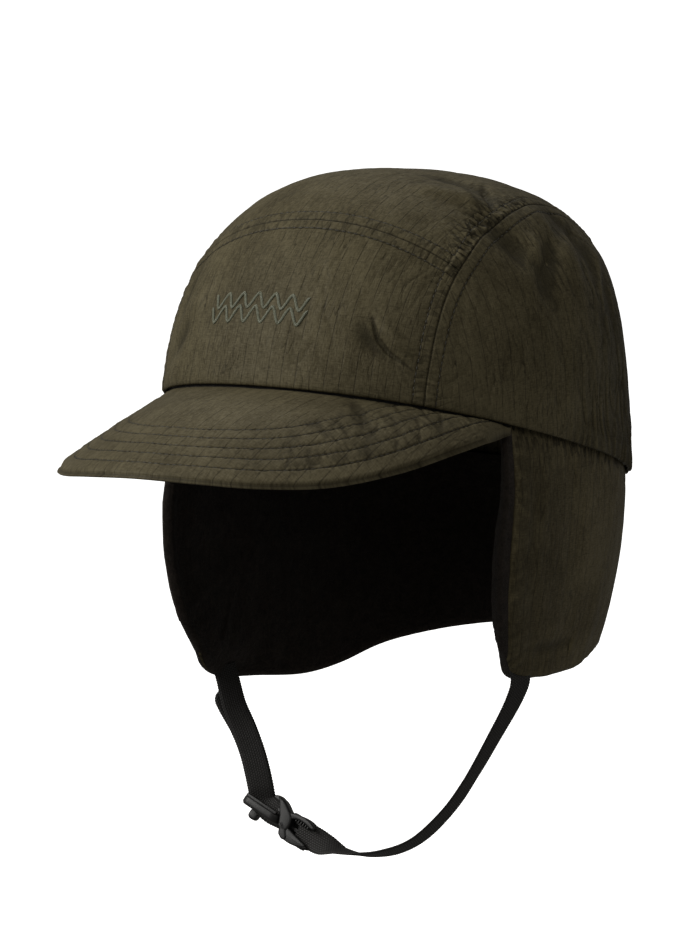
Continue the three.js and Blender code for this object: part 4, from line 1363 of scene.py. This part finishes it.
def nylon(name, light, dark, thread, sewn, crossed=0.5, creased=0.5):
    """Thin crinkled nylon: a fine weave, a grid of thicker threads, and painted shade and highlights at crisp
    creases and gathers.

    Sewn gives the distances from a seam at which the cloth is drawn in along a line. Crossed and
    creased say how much the crosswise threads and the creases' painted shade and highlights show.
    """
    n = Nodes(name)
    pitch = THREAD_PITCH
    main = n.threads(0, pitch, 0.3, 1.0, 0.0, (1.6, 7, 1), 0.34)
    between = n.threads(0, pitch / 2, 0.24, 0.8, 0.5, (1.4, 5, 1), 0.44)
    crosswise = n.threads(1, pitch, 0.26, 0.8, 0.2, (7, 1.6, 1), 0.44)
    threads = n.math("MAXIMUM", main, n.times(between, 0.6))
    threads = n.math("MAXIMUM", threads, n.times(crosswise, crossed))
    streaks = n.noise((0.55, 2.6, 1), 4.0)
    weave = n.noise((2.4, 0.5, 1), 3.0)
    cloudy = n.noise((3.5, 9, 1), 3.0)
    blotches = n.noise((26, 34, 26), 3.0, "object")
    tone = n.weighted((streaks, 0.42), (weave, 0.38), (cloudy, 0.2), (n.minus(blotches, 0.5), 0.35))
    colour = n.mix(n.ramp(tone, 0.4, 0.61), dark, light)
    colour = n.mix(n.times(threads, 0.7), colour, thread)
    # Painted shade on one side of each crisp crease and painted highlight on its other side, in patches.
    patches = n.ramp(n.noise((14, 20, 1), 2.0), 0.42, 0.62)
    dark_side, light_side = n.fold((3.2, 15, 1), 0.06)
    creases = n.times(dark_side, patches)
    colour = n.mix(n.times(creases, creased), colour, thread)
    colour = n.mix(n.times(light_side, patches, creased * 0.6), colour, light)
    # Painted shade and highlights in the gathers beside a seam, and the seam's own lines
    pleat_dark, pleat_light = n.fold((2.7, 8, 1), 0.2, "seam")
    pleated = n.ramp(n.mark("gathers"), 0.08, 0.75)
    pleats = n.times(pleat_dark, pleated)
    colour = n.mix(n.times(pleats, 0.95), colour, thread)
    colour = n.mix(n.times(pleat_light, pleated, 0.5), colour, light)
    far = n.axis(1, source="seam")
    drawn = 0.0
    for distance in sewn:
        drawn = n.math("MAXIMUM", drawn, n.near(far, distance, 0.5))
    colour = n.mix(n.times(drawn, 0.85), colour, thread)
    # Painted shade in hollows and painted light on ridges, by the mesh's own relief and the painted shade
    # that each piece adds.
    hollow = n.mark("hollow")
    colour = n.mix(n.ramp(hollow, 0.46, 0.0, 0.0, 0.55), colour, thread)
    colour = n.mix(n.ramp(hollow, 0.55, 1.0, 0.0, 0.3), colour, light)
    roughness = n.ramp(tone, 0.4, 0.6, 0.68, 0.54)
    height = n.weighted((streaks, 0.6), (weave, 0.4), (threads, -0.4), (creases, -0.6), (pleats, -1.0))
    return n.finish(colour, roughness, height, 0.6, 0.0003, Specular_IOR_Level=0.09)


def fleece_material():
    n = Nodes("fleece")
    pile = n.noise((0.9, 0.9, 0.9), 5.0, "object", 0.75)
    tufts = n.noise((3.2, 3.2, 3.2), 3.0, "object")
    tone = n.weighted((pile, 0.6), (tufts, 0.4))
    colour = n.mix(n.ramp(tone, 0.35, 0.7), rgb(0.006, 0.0046, 0.0038), rgb(0.026, 0.02, 0.016))
    return n.finish(colour, n.ramp(tone, 0.3, 0.7, 0.98, 0.85), tone, 0.9, 0.0011,
                    Specular_IOR_Level=0.05, Sheen_Weight=0.05, Sheen_Roughness=0.6)


def webbing_material(name, light, dark, wide, long):
    """Flat woven tape: rows of rounded cells so wide and long, each row half a cell further on."""
    n = Nodes(name)
    across = n.axis(0, (wide, long, 1))
    along = n.axis(1, (wide, long, 1))
    shift = n.times(n.math("FLOOR", across), 0.5)
    cells = n.times(n.humps(n.plus(along, shift)), n.humps(across))
    fibres = n.noise((0.16, 1.2, 1), 3.0)
    tone = n.weighted((cells, 0.75), (fibres, 0.3))
    colour = n.mix(n.ramp(tone, 0.1, 0.95), dark, light)
    return n.finish(colour, n.ramp(tone, 0.2, 0.9, 0.75, 0.55), tone, 0.8, 0.0003, Specular_IOR_Level=0.3)


def thread_material():
    """Twisted thread, its strands lighter on top."""
    n = Nodes("sewing_thread")
    strands = n.noise((0.4, 0.4, 0.4), 4.0, "object")
    colour = n.mix(n.ramp(strands, 0.35, 0.65), rgb(0.009, 0.0075, 0.005), rgb(0.034, 0.03, 0.019))
    roughness = n.ramp(strands, 0.3, 0.7, 0.6, 0.42)
    return n.finish(colour, roughness, strands, 0.5, 0.0002, Specular_IOR_Level=0.4)


def satin_stitch_material():
    n = Nodes("embroidery_thread")
    strands = n.humps(n.axis(0, (0.42, 1, 1)))
    tone = n.weighted((strands, 0.6), (n.noise((0.5, 2, 1), 3.0), 0.4))
    colour = n.mix(n.ramp(tone, 0.2, 0.85), rgb(0.03, 0.033, 0.02), rgb(0.14, 0.145, 0.1))
    return n.finish(colour, n.ramp(tone, 0.2, 0.8, 0.55, 0.38), tone, 0.8, 0.0003, Specular_IOR_Level=0.5)


def plastic_material():
    n = Nodes("buckle_plastic")
    grain = n.noise((0.35, 0.35, 0.35), 3.0, "object")
    smudges = n.noise((5, 5, 5), 3.0, "object")
    edges = n.node("ShaderNodeNewGeometry", "Pointiness")
    worn = n.times(n.ramp(edges, 0.5, 0.62), n.ramp(smudges, 0.4, 0.7))
    colour = n.mix(worn, rgb(0.0068, 0.0066, 0.0068), rgb(0.022, 0.0215, 0.022))
    roughness = n.plus(n.ramp(smudges, 0.3, 0.7, 0.34, 0.46), n.times(grain, 0.06))
    return n.finish(colour, roughness, grain, 0.25, 0.0001, Specular_IOR_Level=0.28)


# The scene

# The camera's angle round from the front to the left and its angle up, its distance, and how far its
# axis passes beside and below the origin, in millimetres. Its field of view is the photo's.
CAMERA = {"azimuth": 35, "elevation": 5.5, "distance": 2500, "beside": -19.64, "below": 14.04, "lens": 334.3}
SENSOR_WIDTH = 36
WARM_LIGHT = (1, 0.975, 0.91)
# Square soft lights: the angles round and up, the distance and the size in metres, the power and colour.
LIGHTS = {
    "key": (-38, 34, 2.2, 1.3, 50, (1, 0.99, 0.95)),
    "front_fill": (48, 36, 2.4, 1.2, 10, WARM_LIGHT),
    "rear_top": (-150, 60, 2.2, 1.2, 9, WARM_LIGHT),
    "low_rear": (110, -30, 2.4, 1.0, 20, WARM_LIGHT),
}
WORLD_STRENGTH = 0.22
FLOOR_HEIGHT = -0.33
FLOOR_REACH = 30
# The crown's strips between the side seams: start, end, columns, rows and the crinkles' seed.
STRIPS = {
    "front_panel": (FRONT_RIM, FRONT_SEAM, 300, 165, 31),
    "top_panel": (FRONT_SEAM, BACK_SEAM, 230, 260, 34),
    "back_panel": (BACK_SEAM, BACK_RIM, 130, 120, 37),
}
# The side panels: which side, columns, rows and seed. The one that the photo shows is finer.
SIDES = {"side_panel_left": (1, 400, 165, 41), "side_panel_right": (-1, 260, 110, 44)}


def outward(azimuth, elevation):
    """The direction away from the cap at an angle round from the front to the left, and up."""
    a, e = math.radians(azimuth), math.radians(elevation)
    return Vector((math.sin(a) * math.cos(e), -math.cos(a) * math.cos(e), math.sin(e)))


def make_camera():
    camera = bpy.data.cameras.new("camera")
    camera.sensor_fit = "HORIZONTAL"
    camera.sensor_width = SENSOR_WIDTH
    camera.lens = CAMERA["lens"]
    camera.clip_start = 0.05
    camera.clip_end = 100
    holder = bpy.data.objects.new("camera", camera)
    azimuth = math.radians(CAMERA["azimuth"])
    right = Vector((math.cos(azimuth), math.sin(azimuth), 0))
    back = outward(CAMERA["azimuth"], CAMERA["elevation"])
    up = back.cross(right)
    place = Matrix((right, up, back)).transposed().to_4x4()
    place.translation = (right * CAMERA["beside"] - up * CAMERA["below"] + back * CAMERA["distance"]) * MM
    holder.matrix_world = place
    bpy.context.scene.collection.objects.link(holder)
    bpy.context.scene.camera = holder


def area_light(name, azimuth, elevation, distance, size, power, colour):
    """A square soft light that looks at the cap."""
    light = bpy.data.lights.new(name, "AREA")
    light.shape = "SQUARE"
    light.size = size
    light.energy = power
    light.color = colour
    holder = bpy.data.objects.new(name, light)
    direction = outward(azimuth, elevation)
    holder.location = direction * distance
    holder.rotation_euler = direction.to_track_quat("Z", "Y").to_euler()
    bpy.context.scene.collection.objects.link(holder)


def make_world():
    """Even light from all round, and pure white where the camera looks past the cap."""
    world = bpy.data.worlds.new("studio")
    world.use_nodes = True
    tree = world.node_tree
    background = tree.nodes["Background"]
    seen = tree.nodes.new("ShaderNodeLightPath").outputs["Is Camera Ray"]
    tint = tree.nodes.new("ShaderNodeMix")
    tint.data_type = "RGBA"
    tint.inputs[6].default_value = (*WARM_LIGHT, 1)
    tint.inputs[7].default_value = (1, 1, 1, 1)
    tree.links.new(seen, tint.inputs[0])
    tree.links.new(tint.outputs[2], background.inputs["Color"])
    level = tree.nodes.new("ShaderNodeMapRange")
    level.inputs[3].default_value = WORLD_STRENGTH
    tree.links.new(seen, level.inputs[0])
    tree.links.new(level.outputs[0], background.inputs["Strength"])
    bpy.context.scene.world = world


def make_floor():
    """A plain white floor that the camera sees and that sends no light back up."""
    mesh = bpy.data.meshes.new("floor")
    corners = [(-1, -1, 0), (1, -1, 0), (1, 1, 0), (-1, 1, 0)]
    mesh.from_pydata([Vector(corner) * FLOOR_REACH for corner in corners], [], [(0, 1, 2, 3)])
    floor = bpy.data.objects.new("floor", mesh)
    floor.location.z = FLOOR_HEIGHT
    bpy.context.scene.collection.objects.link(floor)
    n = Nodes("floor_paper")
    speck = n.noise((40, 40, 40), 2.0, "object")
    n.put(n.shader.inputs["Base Color"], n.mix(speck, rgb(0.9, 0.9, 0.9), rgb(0.94, 0.94, 0.94)))
    n.shader.inputs["Roughness"].default_value = 0.9
    n.shader.inputs["Emission Color"].default_value = rgb(1, 1, 1)
    n.shader.inputs["Emission Strength"].default_value = 1.0
    clear = n.node("ShaderNodeBsdfTransparent")
    behind = n.node("ShaderNodeNewGeometry", "Backfacing")
    shader = n.tree.nodes.new("ShaderNodeMixShader")
    n.put(shader.inputs[0], behind)
    n.tree.links.new(n.shader.outputs[0], shader.inputs[1])
    n.tree.links.new(clear, shader.inputs[2])
    n.tree.links.new(shader.outputs[0], n.tree.nodes["Material Output"].inputs["Surface"])
    mesh.materials.append(n.material)
    floor.visible_diffuse = False
    floor.visible_glossy = False


def dress(piece, material, node=None):
    """A piece's finish, the CAD node that it stands for, and the body that it rides on."""
    piece.data.materials.append(material)
    if node:
        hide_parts(node)
    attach(piece, "root")


# Each cloth's thread colour is also the colour of its painted shade in creases, pleats and hollows.
shell = nylon("shell_nylon", light=rgb(0.086, 0.073, 0.041), dark=rgb(0.040, 0.033, 0.0172),
              thread=rgb(0.0095, 0.008, 0.004), sewn=(0, SEAM_STITCH))
visor_cloth = nylon("visor_nylon", light=rgb(0.09, 0.077, 0.045), dark=rgb(0.044, 0.0365, 0.02),
                    thread=rgb(0.0105, 0.0085, 0.0045), sewn=(0,), crossed=0.3, creased=0.35)
flap_cloth = nylon("flap_nylon", light=rgb(0.098, 0.082, 0.045), dark=rgb(0.046, 0.037, 0.0188),
                   thread=rgb(0.0105, 0.0085, 0.0042), sewn=())
fleece = fleece_material()
tape = webbing_material("sweatband_tape", rgb(0.03, 0.028, 0.026), rgb(0.012, 0.011, 0.01), 0.5, 0.6)
webbing = webbing_material("chin_webbing", rgb(0.024, 0.0222, 0.0212), rgb(0.0025, 0.0024, 0.0024), 0.9, 1.05)
plastic = plastic_material()
sewing = thread_material()
embroidery = satin_stitch_material()

make_camera()
make_world()
for name, light in LIGHTS.items():
    area_light(name, *light)
make_floor()

for node, strip in STRIPS.items():
    dress(strip_piece(f"{node}_cloth", *strip), shell, node)
for node, side in SIDES.items():
    dress(side_piece(f"{node}_cloth", *side), shell, node)
dress(crown_stitches("crown_stitches"), sewing)
visor_piece, visor_stitches = visor_pieces()
dress(visor_piece, visor_cloth, "visor")
dress(visor_stitches, sewing)
dress(sweatband_piece(), tape, "sweatband")
dress(flap_shell_piece(), flap_cloth, "flap_shell")
dress(fleece_piece(), fleece, "flap_lining")
for node in STRAPS:
    dress(strap_piece(node, rounded_start=node == "strap_free_end"), webbing, node)
dress(buckle_socket_piece(), plastic, "buckle_socket")
dress(buckle_insert_piece(), plastic, "buckle_insert")
dress(embroidery_piece(), embroidery)

bpy.context.scene.view_settings.view_transform = "Standard"
